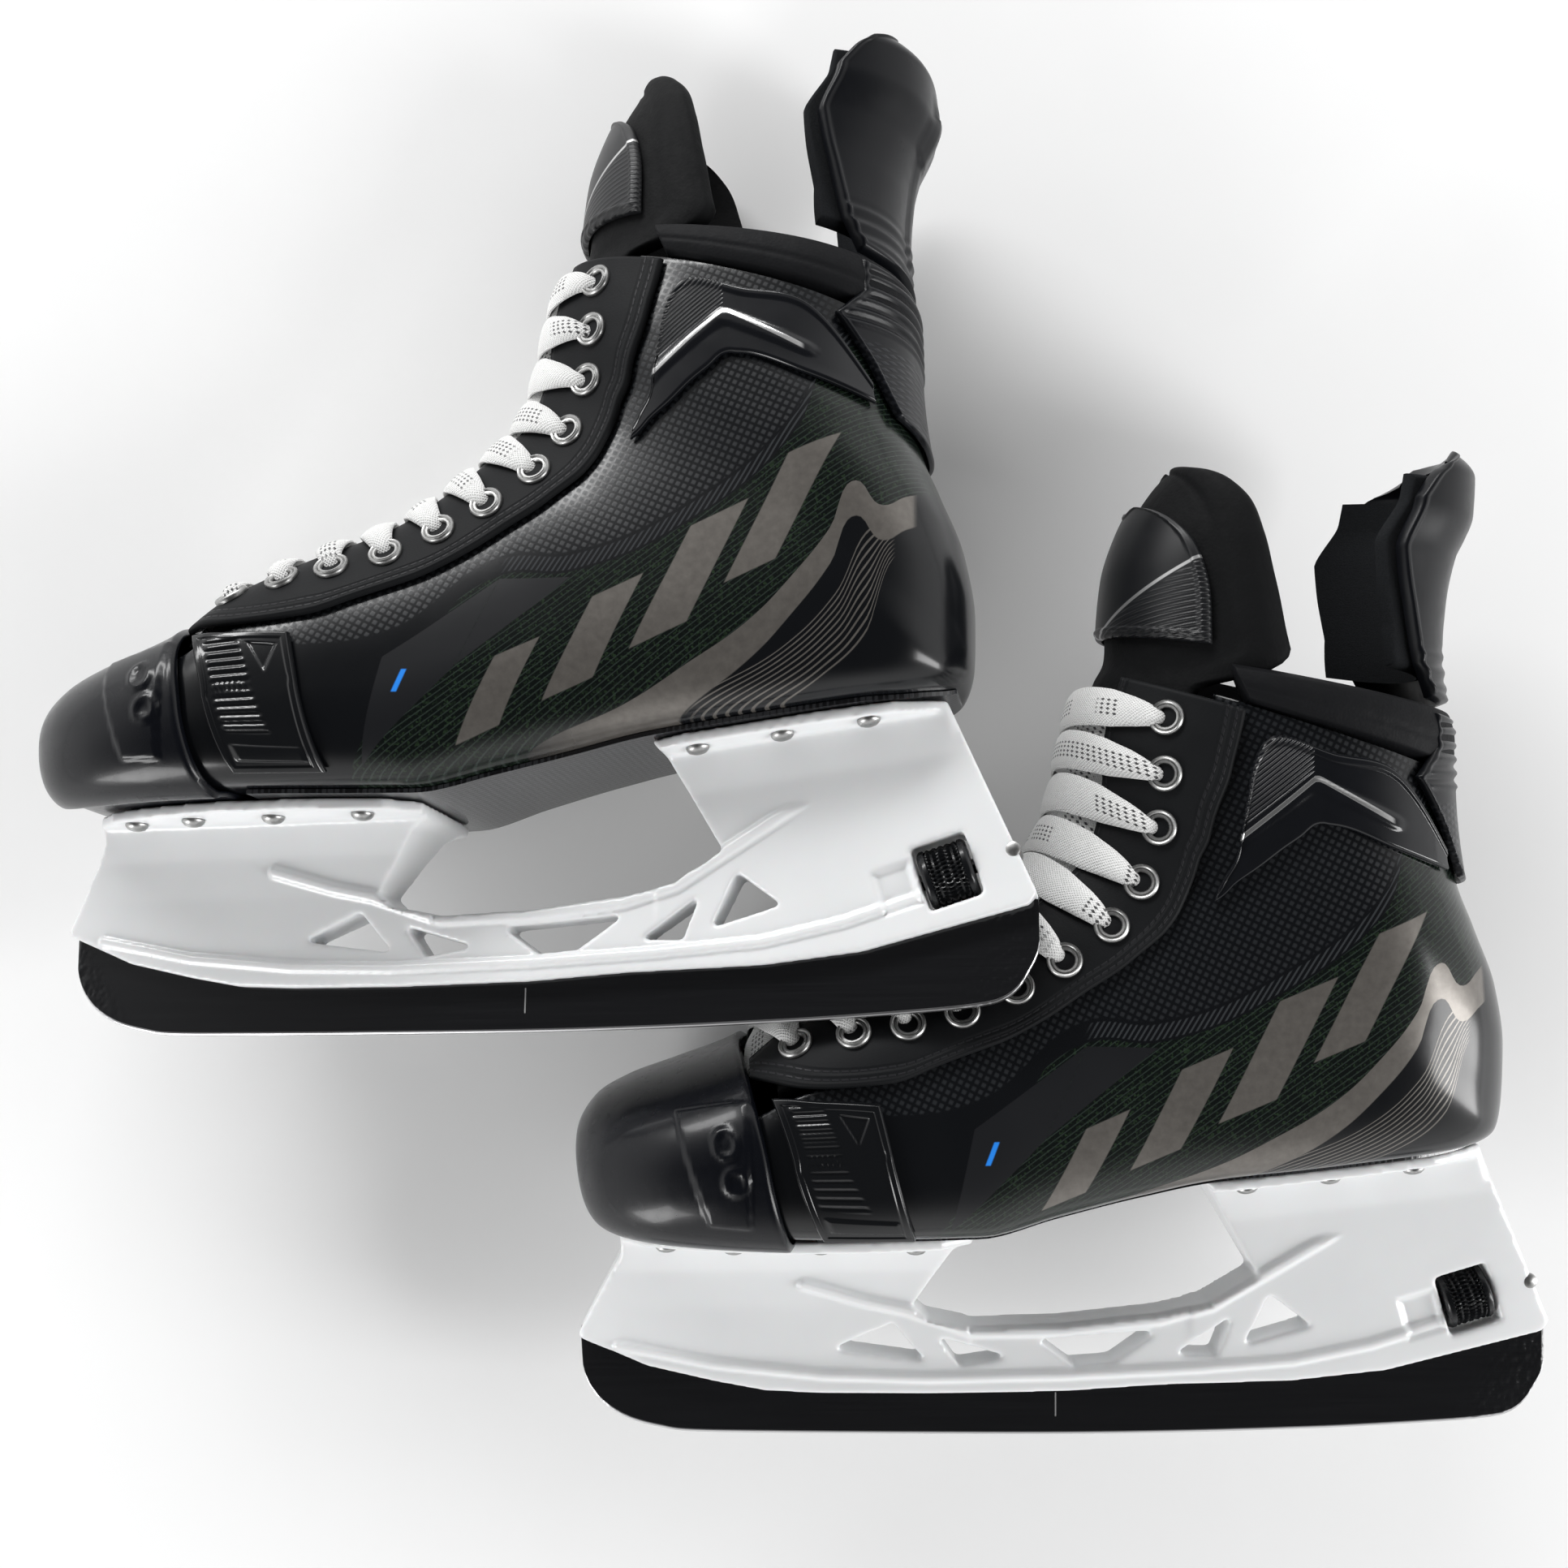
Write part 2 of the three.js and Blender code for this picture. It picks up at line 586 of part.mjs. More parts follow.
const bottomLine = [[150.3, 34], [101.3, 21.6], [71.5, 18.3], [30, 17], [0, 15], [-43, 14.2],
  [-76, 14.4], [-93.7, 15.2], [-110, 18.2], [-131, 23], [-152, 32]].map(([x, z]) => [X(x), Z(z)]);

function holderOutline() {
  const pt = (x, z) => [X(x), Z(z)];
  const heelTop = rearFlange.top + rearSlope * (rearFlange.to - rearFlange.from);
  const shape = shapeOf([
    [frontFlange.from, frontFlange.top], [frontFlange.to, frontFlange.top],
    [frontFlange.to, frontFlange.top - flangeThickness],
    pt(-35.4, 61.5), pt(-47.7, 42.9), pt(-43, 38.5), pt(-28, 35.5), pt(0, 36.5), pt(30, 39.8),
    pt(44.9, 43.1), pt(60.3, 52.3), [rearFlange.from + 3, rearFlange.top - flangeThickness],
    [rearFlange.from, rearFlange.top], [rearFlange.to, heelTop],
    pt(152.7, 37.3), ...bottomLine, pt(-152.5, 33.5), pt(-138.7, 60),
  ]);
  const windows = [
    [[-73, 28.5], [-54, 37], [-43.5, 24.5]],
    [[-39.8, 32.5], [-16.6, 25.6], [-33, 23]],
    [[-8.5, 31.3], [30, 34.3], [15.4, 24], [2.9, 23]],
    [[34.6, 26.5], [53.2, 39.4], [47.8, 26.1]],
    [[64.4, 45.8], [77.9, 35.7], [56.5, 29.6]],
  ];
  for (const points of windows) shape.holes.push(shapeOf(points.map((p) => pt(...p))));
  return shape;
}

// A length of section drawn as half widths at heights, mirrored about the middle plane.
function lengthOfSection(halves, from, to) {
  const right = halves.map(([y, z]) => new THREE.Vector2(y, z));
  const left = halves.map(([y, z]) => new THREE.Vector2(-y, z)).reverse();
  const geometry = new THREE.ExtrudeGeometry(new THREE.Shape([...right, ...left]),
    { depth: to - from, bevelEnabled: false });
  return geometry.rotateX(Math.PI / 2).rotateZ(Math.PI / 2).translate(from, 0, 0);
}

function planExtrusion(points, bottom, top) {
  const right = points.map(([x, y]) => new THREE.Vector2(X(x), Y(y)));
  const left = points.map(([x, y]) => new THREE.Vector2(X(x), -Y(y))).reverse();
  return new THREE.ExtrudeGeometry(new THREE.Shape([...right, ...left]),
    { depth: top - bottom, bevelEnabled: false }).translate(0, 0, bottom);
}

const frontRivets = [-124, -103.3, -76.9, -47.9].map((x) => [X(x), Y(x < -110 ? 20 : 23)]);
const rearRivets = [54.6, 80.2, 105.9].map((x) => [X(x), Y(17)]);
const bothSides = (spots) => spots.flatMap(([x, y]) => [[x, y], [x, -y]]);
const clinchRise = outsoleWall + 2 * fit + shellWall + fit;   // flange top to clinch plate

function rivetSet(spots, plateHalf) {
  const places = bothSides(spots);
  const xs = spots.map(([x]) => x);
  const plate = box(Math.min(...xs) - 4, Math.max(...xs) + 4, -plateHalf, plateHalf,
    clinchRise, clinchRise + stripThickness);
  const headTop = -flangeThickness - fit;
  return joined([plate, ...places.flatMap(([x, y]) => [
    post(x, y, headTop - rivetHeadDepth / 3, clinchRise + stripThickness / 4, rivetShank / 2,
      pinSides),
    post(x, y, headTop - rivetHeadDepth, headTop, rivetHead / 2, pinSides),
  ])]);
}

const rivetHoles = (spots) => bothSides(spots).map(([x, y]) => post(
  x, y, -flangeThickness - 8, clinchRise - fit / 2, rivetShank / 2 + fit + 0.2, pinSides));
const ontoFrontFlange = (geometry) => geometry.translate(0, 0, frontFlange.top);

// The lock's own frame: origin at the middle of the dial, x along its axis toward the heel.
const lockTurn = THREE.MathUtils.degToRad(dialTilt);
const lockPlace = new THREE.Vector3(X(126.8), 0, Z(44.2));
const ontoLock = (geometry) => geometry.rotateY(-lockTurn)
  .translate(lockPlace.x, lockPlace.y, lockPlace.z);
const alongX = (radius, from, to, sides) => new THREE.CylinderGeometry(
  radius, radius, to - from, sides).rotateZ(Math.PI / 2).translate((from + to) / 2, 0, 0);

const boltFront = -dialLength / 2 - 8;
const boltRear = dialLength / 2 + 5;
const hookDrop = 11.4;
const hookThickness = 3.4;
const noseLength = 4;
const noseHeight = 3.4;

const lockDial = () => ontoLock(cutBy(alongX(dialDiameter / 2, -dialLength / 2, dialLength / 2, 20),
  [alongX(boltDiameter / 2 + fit, -dialLength, dialLength, 10)]));

function lockHook(room = 0) {
  const half = steelThickness / 2 + room;
  const front = room ? hookTravelSpace : 0;
  return ontoLock(joined([
    alongX(boltDiameter / 2 + room, boltFront - front, boltRear + room, 8),
    box(boltFront - hookThickness - front, boltFront + 1 + room, -half, half,
      -hookDrop - front - room, boltDiameter / 2 - 0.4 + room),
    box(boltFront - hookThickness - noseLength - front, boltFront, -half, half,
      -hookDrop - front - room, -hookDrop + noseHeight + room),
  ]));
}

// The steel's rear tab hooks over the draw bolt's nose.
const noseTip = new THREE.Vector3(boltFront - hookThickness - noseLength, 0,
  -hookDrop + noseHeight).applyAxisAngle(new THREE.Vector3(0, 1, 0), -lockTurn).add(lockPlace);
const frontTab = { from: X(-133), to: X(-119), top: Z(38) };

function steelBlank(room) {
  const seat = steelSeat + room;
  const top = bottomLine.map(([x, z]) => [x, z + seat]);
  return sideExtrusion(shapeOf([
    [X(-152.3), Z(30.6)], [X(-151.5), Z(20.7)], [X(-146), Z(10.8)], [X(-135.3), Z(4.3)],
    [X(-117.5), Z(0.9)], [X(0), 0], [X(79), Z(1.8)], [X(120), Z(4)], [X(140.5), Z(6.5)],
    [X(150), Z(16)], [X(152.7), Z(23.2)], ...top]), steelThickness / 2 + room);
}

function steel(room = 0) {
  const half = steelThickness / 2 + room;
  const postRear = noseTip.x - hookTravelSpace - 0.4;
  const rearTop = noseTip.z + tabRise;
  return joined([
    steelBlank(room),
    box(frontTab.from - room, frontTab.to + room, -half, half, Z(12), frontTab.top + room),
    box(postRear - 6 - room, postRear + room, -half, half, Z(12), rearTop + room),
    box(postRear - 1, noseTip.x + tabOverlap + room, -half, half, noseTip.z + 0.9 - 5 * room,
      rearTop + room),
  ]);
}

function holder() {
  const outline = solid(sideExtrusion(holderOutline(), Y(40)));
  const t = frontFlange.top;
  const frontBody = solid(lengthOfSection([[Y(36), t + 1], [Y(36), t - flangeThickness],
    [Y(15), t - flangeThickness], [Y(11), Z(54)], [8.5, Z(42)], [trussHalf, Z(26)],
    [trussHalf, Z(10)]], X(-154), frontFlange.to + 1));
  const frontPlan = solid(planExtrusion([[-156, 14], [-138.7, 16], [-130, 24], [-114, 29],
    [-90, 33], [-60, 31.5], [-40, 28], [-30, 20]], Z(5), holderHeight + 5));
  const rearBody = solid(onHeelSlope(lengthOfSection([[Y(26), 1], [Y(26), -flangeThickness],
    [Y(12.5), -flangeThickness], [Y(9.5), -16], [8, -36], [trussHalf, -56], [trussHalf, -100]],
    X(40), X(156))));
  const rearPlan = solid(planExtrusion([[36, 18], [50, 22.5], [90, 23], [112, 21], [124, 15],
    [131, 10], [156, 9]], Z(5), Z(110)));
  const truss = solid(box(X(-60), X(80), -trussHalf, trussHalf, Z(10), Z(58)));
  const body = frontBody.intersect(frontPlan).add(rearBody.intersect(rearPlan)).add(truss);
  const window = box(-dialLength / 2 - 0.8, dialLength / 2 + 0.8, -Y(30), Y(30),
    -dialDiameter / 2 - 0.6, dialDiameter / 2 + 0.6);
  const cuts = [
    steel(fit), lockHook(fit), ontoLock(window),
    ...rivetHoles(frontRivets).map(ontoFrontFlange), ...rivetHoles(rearRivets).map(onHeelSlope),
  ];
  return geometryOf(cuts.reduce((left, cutter) => left.subtract(solid(cutter)),
    outline.intersect(body)));
}

const allRivetHoles = () => [...rivetHoles(frontRivets).map(ontoFrontFlange),
  ...rivetHoles(rearRivets).map(onHeelSlope)];

// ---- materials --------------------------------------------------------------------------------
const paint = (color, roughness, metalness = 0) => new THREE.MeshStandardMaterial(
  { color, roughness, metalness });
const looks = {
  gloss: paint(0x0b0d10, 0.2), matte: paint(0x16181c, 0.65), felt: paint(0x22242a, 0.95),
  rubber: paint(0x14161a, 0.5), nickel: paint(0x8f9194, 0.35, 1), lace: paint(0xe8e8e6, 0.9),
  plastic: paint(0xf0f1f2, 0.25), steel: paint(0x101113, 0.4, 0.7), sole: paint(0x0c0c0e, 0.45),
  leather: paint(0x1c1f24, 0.55),
};

// ---- one skate, standing, left foot -------------------------------------------------------------
function skatePieces() {
  const sides = { lateral: -1, medial: 1 };
  const pieces = {
    boot_shell: [cutBy(bootShell(), allRivetHoles()), looks.gloss],
    liner: [bootLiner(), looks.felt],
    footbed: [footbed(), looks.felt],
    outsole: [cutBy(outsole(), allRivetHoles()), looks.sole],
    toe_cap: [cutBy(toeCap(), rivetHoles(frontRivets).map(ontoFrontFlange)), looks.gloss],
    lace: [lace(), looks.lace],
    tongue_lower: [tongueLower(), looks.felt],
    tongue_upper: [tongueUpper(), looks.felt],
    tongue_shield: [tongueShield(), looks.leather],
    collar_pad: [collarPad(), looks.leather],
    tendon_base: [tendonBase(), looks.rubber],
    tendon_guard: [tendonGuard(), looks.rubber],
    tendon_liner: [tendonLiner(), looks.felt],
    holder: [holder(), looks.plastic],
    steel_runner: [steel(), looks.steel],
    lock_dial: [lockDial(), looks.rubber],
    lock_hook: [lockHook(), looks.nickel],
    front_rivets: [ontoFrontFlange(rivetSet(frontRivets, Y(25))), looks.nickel],
    rear_rivets: [onHeelSlope(rivetSet(rearRivets, Y(19))), looks.nickel],
  };
  for (const [name, side] of Object.entries(sides)) {
    pieces[`side_guard_${name}`] = [sideGuard(side), looks.gloss];
    pieces[`eyestay_${name}`] = [eyestay(side), looks.matte];
    pieces[`eyelet_row_${name}`] = [eyeletRow(side), looks.nickel];
    pieces[`ankle_panel_${name}`] = [anklePanel(side), looks.gloss];
  }
  return pieces;
}

// ---- the pair -----------------------------------------------------------------------------------
// Where each skate lies: its own origin, and how far it leans nose down and top down.
const leftIceLine = -206;
const lying = {
  left: { x: X(88), y: leftIceLine, lift: 0, noseLean: 0, topLean: 0, turn: 0 },
  right: { x: X(-76), y: leftIceLine + Z(131), lift: 87.9, noseLean: 10.9, topLean: -12.5, turn: 0 },
};

function lyingSkate(foot) {
  const standing = new THREE.Group();
  if (foot === 'right') standing.scale.y = -1;
  for (const [name, [geometry, material]] of Object.entries(skatePieces())) {
    const mesh = new THREE.Mesh(geometry, material);
    mesh.name = `${foot}_${name}`;
    standing.add(mesh);
  }
  standing.rotation.x = -Math.PI / 2;
  const { x, y, lift, noseLean, topLean, turn } = lying[foot];
  const laid = new THREE.Group();
  laid.add(standing);
  laid.rotation.set(...[topLean, -noseLean, turn].map(THREE.MathUtils.degToRad));
  laid.position.set(x, y, lift);
  if (foot === 'left') {
    laid.updateMatrixWorld(true);
    laid.position.z -= new THREE.Box3().setFromObject(laid, true).min.z;
  }
  return laid;
}

const pair = new THREE.Group();
pair.add(lyingSkate('left'), lyingSkate('right'));
pair.updateMatrixWorld(true);
const extent = new THREE.Box3().setFromObject(pair, true);
const middle = extent.getCenter(new THREE.Vector3());
pair.position.set(-middle.x, -middle.y, -extent.min.z);
pair.updateMatrixWorld(true);

export default pair;
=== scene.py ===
"""A pair of ice hockey skates lying on their sides, the right one resting on the left.

Every piece is drawn in the skate's own frame, in millimetres: x runs from toe (-) to heel
(+), z is up from the ice and y is zero in the middle, with the outer side of the foot at -y.
A skate's place in the row frame comes from three of the record's joints.
"""

import json
import math

import bpy
import numpy as np
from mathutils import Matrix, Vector


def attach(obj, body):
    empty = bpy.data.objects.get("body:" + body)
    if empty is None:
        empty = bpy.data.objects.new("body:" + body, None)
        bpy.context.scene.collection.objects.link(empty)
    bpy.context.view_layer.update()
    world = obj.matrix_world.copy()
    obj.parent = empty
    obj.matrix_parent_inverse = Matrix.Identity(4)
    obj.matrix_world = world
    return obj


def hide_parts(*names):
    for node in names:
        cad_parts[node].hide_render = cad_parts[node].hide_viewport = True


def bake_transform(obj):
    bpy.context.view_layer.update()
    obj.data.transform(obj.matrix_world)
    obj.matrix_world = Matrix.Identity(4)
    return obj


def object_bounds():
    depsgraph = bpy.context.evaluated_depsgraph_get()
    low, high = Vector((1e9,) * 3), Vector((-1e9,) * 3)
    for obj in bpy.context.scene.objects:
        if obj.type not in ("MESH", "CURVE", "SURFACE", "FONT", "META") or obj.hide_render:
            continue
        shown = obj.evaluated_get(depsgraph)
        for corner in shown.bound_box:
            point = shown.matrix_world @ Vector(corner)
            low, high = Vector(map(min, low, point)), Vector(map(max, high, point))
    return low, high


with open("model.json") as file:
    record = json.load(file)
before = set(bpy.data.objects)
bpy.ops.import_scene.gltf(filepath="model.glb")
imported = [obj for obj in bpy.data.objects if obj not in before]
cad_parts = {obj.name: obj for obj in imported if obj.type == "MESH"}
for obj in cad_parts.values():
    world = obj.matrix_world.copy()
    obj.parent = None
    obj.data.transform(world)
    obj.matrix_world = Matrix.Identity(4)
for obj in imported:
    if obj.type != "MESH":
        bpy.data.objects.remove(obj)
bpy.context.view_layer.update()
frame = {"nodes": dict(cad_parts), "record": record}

FEET = ("left", "right")
SIDES = {"lateral": -1, "medial": 1}

# ---- sizes, mm ---------------------------------------------------------------------------
LAYER_GAP = 0.9
SHELL_WALL = 3.2
TRIM_OUT = 2.9
LINER_OUT, LINER_IN = -4.6, -7.6
FOOTBED_WALL = 3.0
OUTSOLE_WALL = 1.3
FIT = 0.3
TONGUE_OUT, TONGUE_IN = -1.6, -5.6
EYELET_RADIUS = 5.4
EYELET_HOLE = 2.9
LACE_WIDTH = 12.4
LACE_THICKNESS = 1.5
FLANGE_THICKNESS = 3.6
STEEL_HALF = 1.5
DIAL_RADIUS, DIAL_LENGTH = 9.0, 15.0
DIAL_TILT = math.radians(17)
TONGUE_HINGE = (10.5, 248.5)
TENDON_HINGE = (121.0, 229.0)
TENDON_BEND = (224.0, 246.0)         # heights that bound the guard foot's bend; nothing here bends it
DIAL_MIDDLE = (126.8, 44.2)
SOLE_HEIGHT = 70
HEEL_SLOPE = ((41, 86), (100, 92.9))   # the sole under the heel, x and z
EDGE_KEEP = 0.3                        # share of a layer's thickness left at its edge
SHARP_ANGLE = 50                       # degrees
CHART = 320                            # side of the square that float curves are drawn in
OUTSIDE_BORE = (9, 0, 0)               # added to e on metal that isn't an eyelet's bore, so the bore's painted shade stays off it

# ---- the boot's form ---------------------------------------------------------------------
# Rungs climb from the toe, over the heel and up the leg.
# [back x, z, front x, z, half width, half sole, height of widest, shift inward, squareness]
RUNGS = np.array([
    [-148.5, 81, -150.5, 90, 7, 0, 0.5, 8, 2],
    [-147, 76, -150, 96, 19, 8, 0.45, 8, 2.1],
    [-143, 72.4, -146, 103, 29.5, 18, 0.42, 7.5, 2.2],
    [-134, 70.7, -137, 108.3, 38.5, 26, 0.4, 7, 2.3],
    [-118, 70.2, -121, 114, 46.5, 32, 0.38, 6, 2.4],
    [-98, 70.2, -103, 121, 50.5, 36, 0.38, 4.5, 2.5],
    [-78, 70.2, -86, 134, 52, 37, 0.38, 3, 2.7],
    [-50, 70.2, -64, 144.5, 51.5, 34, 0.37, 1.5, 2.8],
    [-29, 70.2, -50, 150, 49.5, 31, 0.37, 1, 2.8],
    [-5, 75.8, -38, 156, 47, 27, 0.38, 0, 2.8],
    [20, 81.6, -27, 164, 45, 25, 0.38, 0, 2.8],
    [41, 86, -18, 172, 43.5, 25, 0.38, 0, 2.8],
    [70, 89.4, -10, 181, 43, 26, 0.38, 0, 2.7],
    [100, 92.9, -5, 189, 42.5, 25, 0.38, 0, 2.6],
    [120, 95.3, -2.5, 195.5, 42.5, 19, 0.38, 0, 2.6],
    [131, 98.6, -0.5, 202, 42.5, 9, 0.38, 0, 2.6],
    [135.5, 108, 1, 208, 42.5, 0, 0.39, 0, 2.6],
    [136, 124, 2, 214, 43, 0, 0.4, 0, 2.5],
    [133.5, 142, 3.5, 220, 43.5, 0, 0.42, 0, 2.5],
    [127, 160, 5, 226.5, 43.5, 0, 0.44, 0, 2.4],
    [121, 177, 7, 233, 43, 0, 0.46, 0, 2.3],
    [118.5, 200, 9.5, 239.5, 42, 0, 0.48, 0, 2.2],
    [118, 222, 12.5, 246, 41, 0, 0.5, 0, 2.2],
    [115.8, 246, 13, 257, 40.5, 0, 0.5, 0, 2.2],
    [117, 262, 14.5, 271, 40, 0, 0.5, 0, 2.2],
    [120, 276, 19, 285, 39.5, 0, 0.5, 0, 2.2],
    [125.5, 289, 25, 296, 39, 0, 0.5, 0, 2.2],
    [126, 300, 31, 303.5, 38.5, 0, 0.5, 0, 2.2],
    [119, 306.5, 36, 307, 38, 0, 0.5, 0, 2.2],
])
LAST = len(RUNGS) - 1
FLAT_SOLE, FULL_SOLE, WIDEST, SOLE_SQUARE = 0.2, 20.0, 0.5, 2.4


def rung_slopes():
    slopes = np.zeros_like(RUNGS)
    before = RUNGS[1:-1] - RUNGS[:-2]
    after = RUNGS[2:] - RUNGS[1:-1]
    total = np.where(before + after == 0, 1, before + after)
    slopes[1:-1] = np.where(before * after <= 0, 0, 2 * before * after / total)
    return slopes


SLOPES = rung_slopes()


def rung(u):
    """Values of the rungs at u, by a cubic that never overshoots them."""
    u = np.clip(np.asarray(u, float), 0, LAST)
    k = np.minimum(u.astype(int), LAST - 1)
    t = (u - k)[..., None]
    blend = RUNGS[k] + (RUNGS[k + 1] - RUNGS[k]) * t * t * (3 - 2 * t)
    return blend + SLOPES[k] * t * (1 - t) ** 2 - SLOPES[k + 1] * t * t * (1 - t)


def form(u, t):
    """Point of the form at rung u and signed girth t: 0 is the sole's middle, +-1 the top's."""
    u, t = np.broadcast_arrays(np.asarray(u, float), np.asarray(t, float))
    bx, bz, fx, fz, half, sole, widest, shift, square = np.moveaxis(rung(u), -1, 0)
    side = np.where(t < 0, -1.0, 1.0)
    g = np.abs(t)
    side = np.where(g > 1, -side, side)
    g = np.where(g > 1, 2 - g, g)
    share = FLAT_SOLE * np.minimum(sole / FULL_SOLE, 1)
    up = np.clip((g - WIDEST) / (1 - WIDEST), 0, 1) * np.pi / 2
    low = np.clip((g - share) / (WIDEST - share), 0, 1) * np.pi / 2
    along_up = widest + (1 - widest) * np.sin(up) ** (2 / square)
    half_up = half * np.maximum(np.cos(up), 0) ** (2 / square)
    along_low = widest * (1 - np.maximum(np.cos(low), 0) ** (2 / SOLE_SQUARE))
    half_low = sole + (half - sole) * np.sin(low) ** (2 / SOLE_SQUARE)
    half_flat = sole * g / np.maximum(share, 1e-6)
    upper, lower = g > WIDEST, g > share
    along = np.where(upper, along_up, np.where(lower, along_low, 0))
    wide = np.where(upper, half_up, np.where(lower, half_low, half_flat))
    return np.stack([bx + (fx - bx) * along, side * wide + shift, bz + (fz - bz) * along], -1)


def normal(u, t):
    step = 0.02
    along = form(np.minimum(u + step, LAST), t) - form(np.maximum(u - step, 0), t)
    around = form(u, t + step) - form(u, t - step)
    n = np.cross(along, around)
    n /= np.maximum(np.linalg.norm(n, axis=-1, keepdims=True), 1e-9)
    r = rung(u)
    middle = np.stack([(r[..., 0] + r[..., 2]) / 2, r[..., 7], (r[..., 1] + r[..., 3]) / 2], -1)
    outward = np.sum(n * (form(u, t) - middle), -1, keepdims=True)
    return np.where(outward < 0, -n, n)


def skin(u, t, lift):
    """The same point moved out along the form's normal."""
    u, t, lift = np.broadcast_arrays(*(np.asarray(v, float) for v in (u, t, lift)))
    return form(u, t) + normal(u, t) * lift[..., None]


def spot(x, z):
    """Rung and girth of a point given in side view."""
    def miss(u):
        bx, bz, fx, fz = rung(u)[:4]
        return (fx - bx) * (z - bz) - (fz - bz) * (x - bx)

    for k in range(LAST * 4):
        low, high = k / 4, k / 4 + 0.25
        if miss(low) * miss(high) > 0:
            continue
        for _ in range(30):
            mid = (low + high) / 2
            if miss(low) * miss(mid) <= 0:
                high = mid
            else:
                low = mid
        bx, bz, fx, fz, half, sole, widest, _, square = rung(low)
        run = (fx - bx) ** 2 + (fz - bz) ** 2
        share = ((fx - bx) * (x - bx) + (fz - bz) * (z - bz)) / run
        if not -0.1 <= share <= 1.1:
            continue
        share = min(max(share, 0), 1)
        flat = FLAT_SOLE * min(sole / FULL_SOLE, 1)
        if share >= widest:
            turn = math.asin(((share - widest) / (1 - widest)) ** (square / 2))
            return low, WIDEST + (1 - WIDEST) * turn / (math.pi / 2)
        turn = math.acos((1 - share / widest) ** (SOLE_SQUARE / 2))
        return low, flat + (WIDEST - flat) * turn / (math.pi / 2)
    raise ValueError(f"no rung through {x}, {z}")


def girth_at_half(u, half):
    r = rung(u)
    turn = np.arccos(np.minimum(half / r[..., 4], 1) ** (r[..., 8] / 2))
    return WIDEST + (1 - WIDEST) * turn / (np.pi / 2)


def edge_through(points):
    """Girth as a function of rung, through side-view points in rung order."""
    us, gs = np.array([spot(*p) for p in points]).T
    return lambda u: np.interp(u, us, gs)


def run_through(points, share):
    """Values at shares 0 to 1 of a smooth line through points, as an array."""
    points = np.asarray(points, float)
    reach = np.clip(share, 0, 1) * (len(points) - 1)
    k = np.minimum(reach.astype(int), len(points) - 2)
    t = (reach - k)[..., None]
    before, after = np.maximum(k - 1, 0), np.minimum(k + 2, len(points) - 1)
    a, b = points[k], points[k + 1]
    ma, mb = (b - points[before]) / 2, (points[after] - a) / 2
    return (a * (2 * t**3 - 3 * t**2 + 1) + b * (3 * t**2 - 2 * t**3)
            + ma * (t**3 - 2 * t**2 + t) + mb * (t**3 - t**2))


COLLAR_RUNG = spot(85, 219)[0]
PAD_TOP = spot(60, 238.5)[0]
GUARD_FOOT = PAD_TOP + 0.12
SHELL_FRONT = spot(-112, 100)[0]
CAP_TOP, CAP_SOLE = spot(-101, 119)[0], 5.85
EYELETS = np.array([spot(*p) for p in (
    (-83.3, 126.7), (-66.7, 130.8), (-51.4, 133.7), (-35.2, 137.9), (-19.2, 145), (-4.8, 153),
    (9.2, 163.2), (18.8, 176.2), (24.5, 192.8), (26.2, 209), (27, 225.2))])
rim_line = edge_through([(-110, 104), (-90, 112), (-66, 120.5), (-35, 128), (-4, 143),
                         (14, 155), (29, 172), (35, 192), (37, 210), (39, 229)])


def throat_half(u):
    return np.clip(30 - (u - 6) * 0.55, 20, 30)


# ---- meshes ------------------------------------------------------------------------------
def foot_axes(foot):
    """Origin and x, y, z directions of a skate in the row frame, mm."""
    places = {j["name"]: np.array(j["pos_m"]) * 1000
              for j in frame["record"]["behaviour"]["joints"] if "pos_m" in j}
    tongue, tendon, dial = (places[f"{foot}_{name}"]
                            for name in ("tongue_flex", "tendon_flex", "dial_turn"))
    local = np.array([np.subtract(TENDON_HINGE, TONGUE_HINGE),
                      np.subtract(DIAL_MIDDLE, TONGUE_HINGE)])
    ex, ez = np.linalg.solve(local, np.array([tendon - tongue, dial - tongue]))
    ex /= np.linalg.norm(ex)
    ez -= ex * ex.dot(ez)
    ez /= np.linalg.norm(ez)
    ey = np.cross(ex, ez) * (1 if foot == "right" else -1)
    origin = tongue - TONGUE_HINGE[0] * ex - TONGUE_HINGE[1] * ez
    return origin, np.array([ex, ey, ez])


AXES = {foot: foot_axes(foot) for foot in FEET}


def to_row(foot, points):
    origin, axes = AXES[foot]
    return (points @ axes + origin) / 1000


def to_skate(foot, points):
    origin, axes = AXES[foot]
    return (points * 1000 - origin) @ axes.T


def volume(points, faces):
    a, b, c, d = (points[faces[:, n]] for n in range(4))
    return np.sum(a * np.cross(b, c)) + np.sum(a * np.cross(c, d))


def outward(points, faces):
    return faces if volume(points, faces) > 0 else faces[:, ::-1]


def arc(points, axis):
    """Distance along one direction of a grid of points."""
    steps = np.linalg.norm(np.diff(points, axis=axis), axis=-1)
    zero = np.zeros_like(np.take(steps, [0], axis=axis))
    return np.cumsum(np.concatenate([zero, steps], axis=axis), axis=axis)


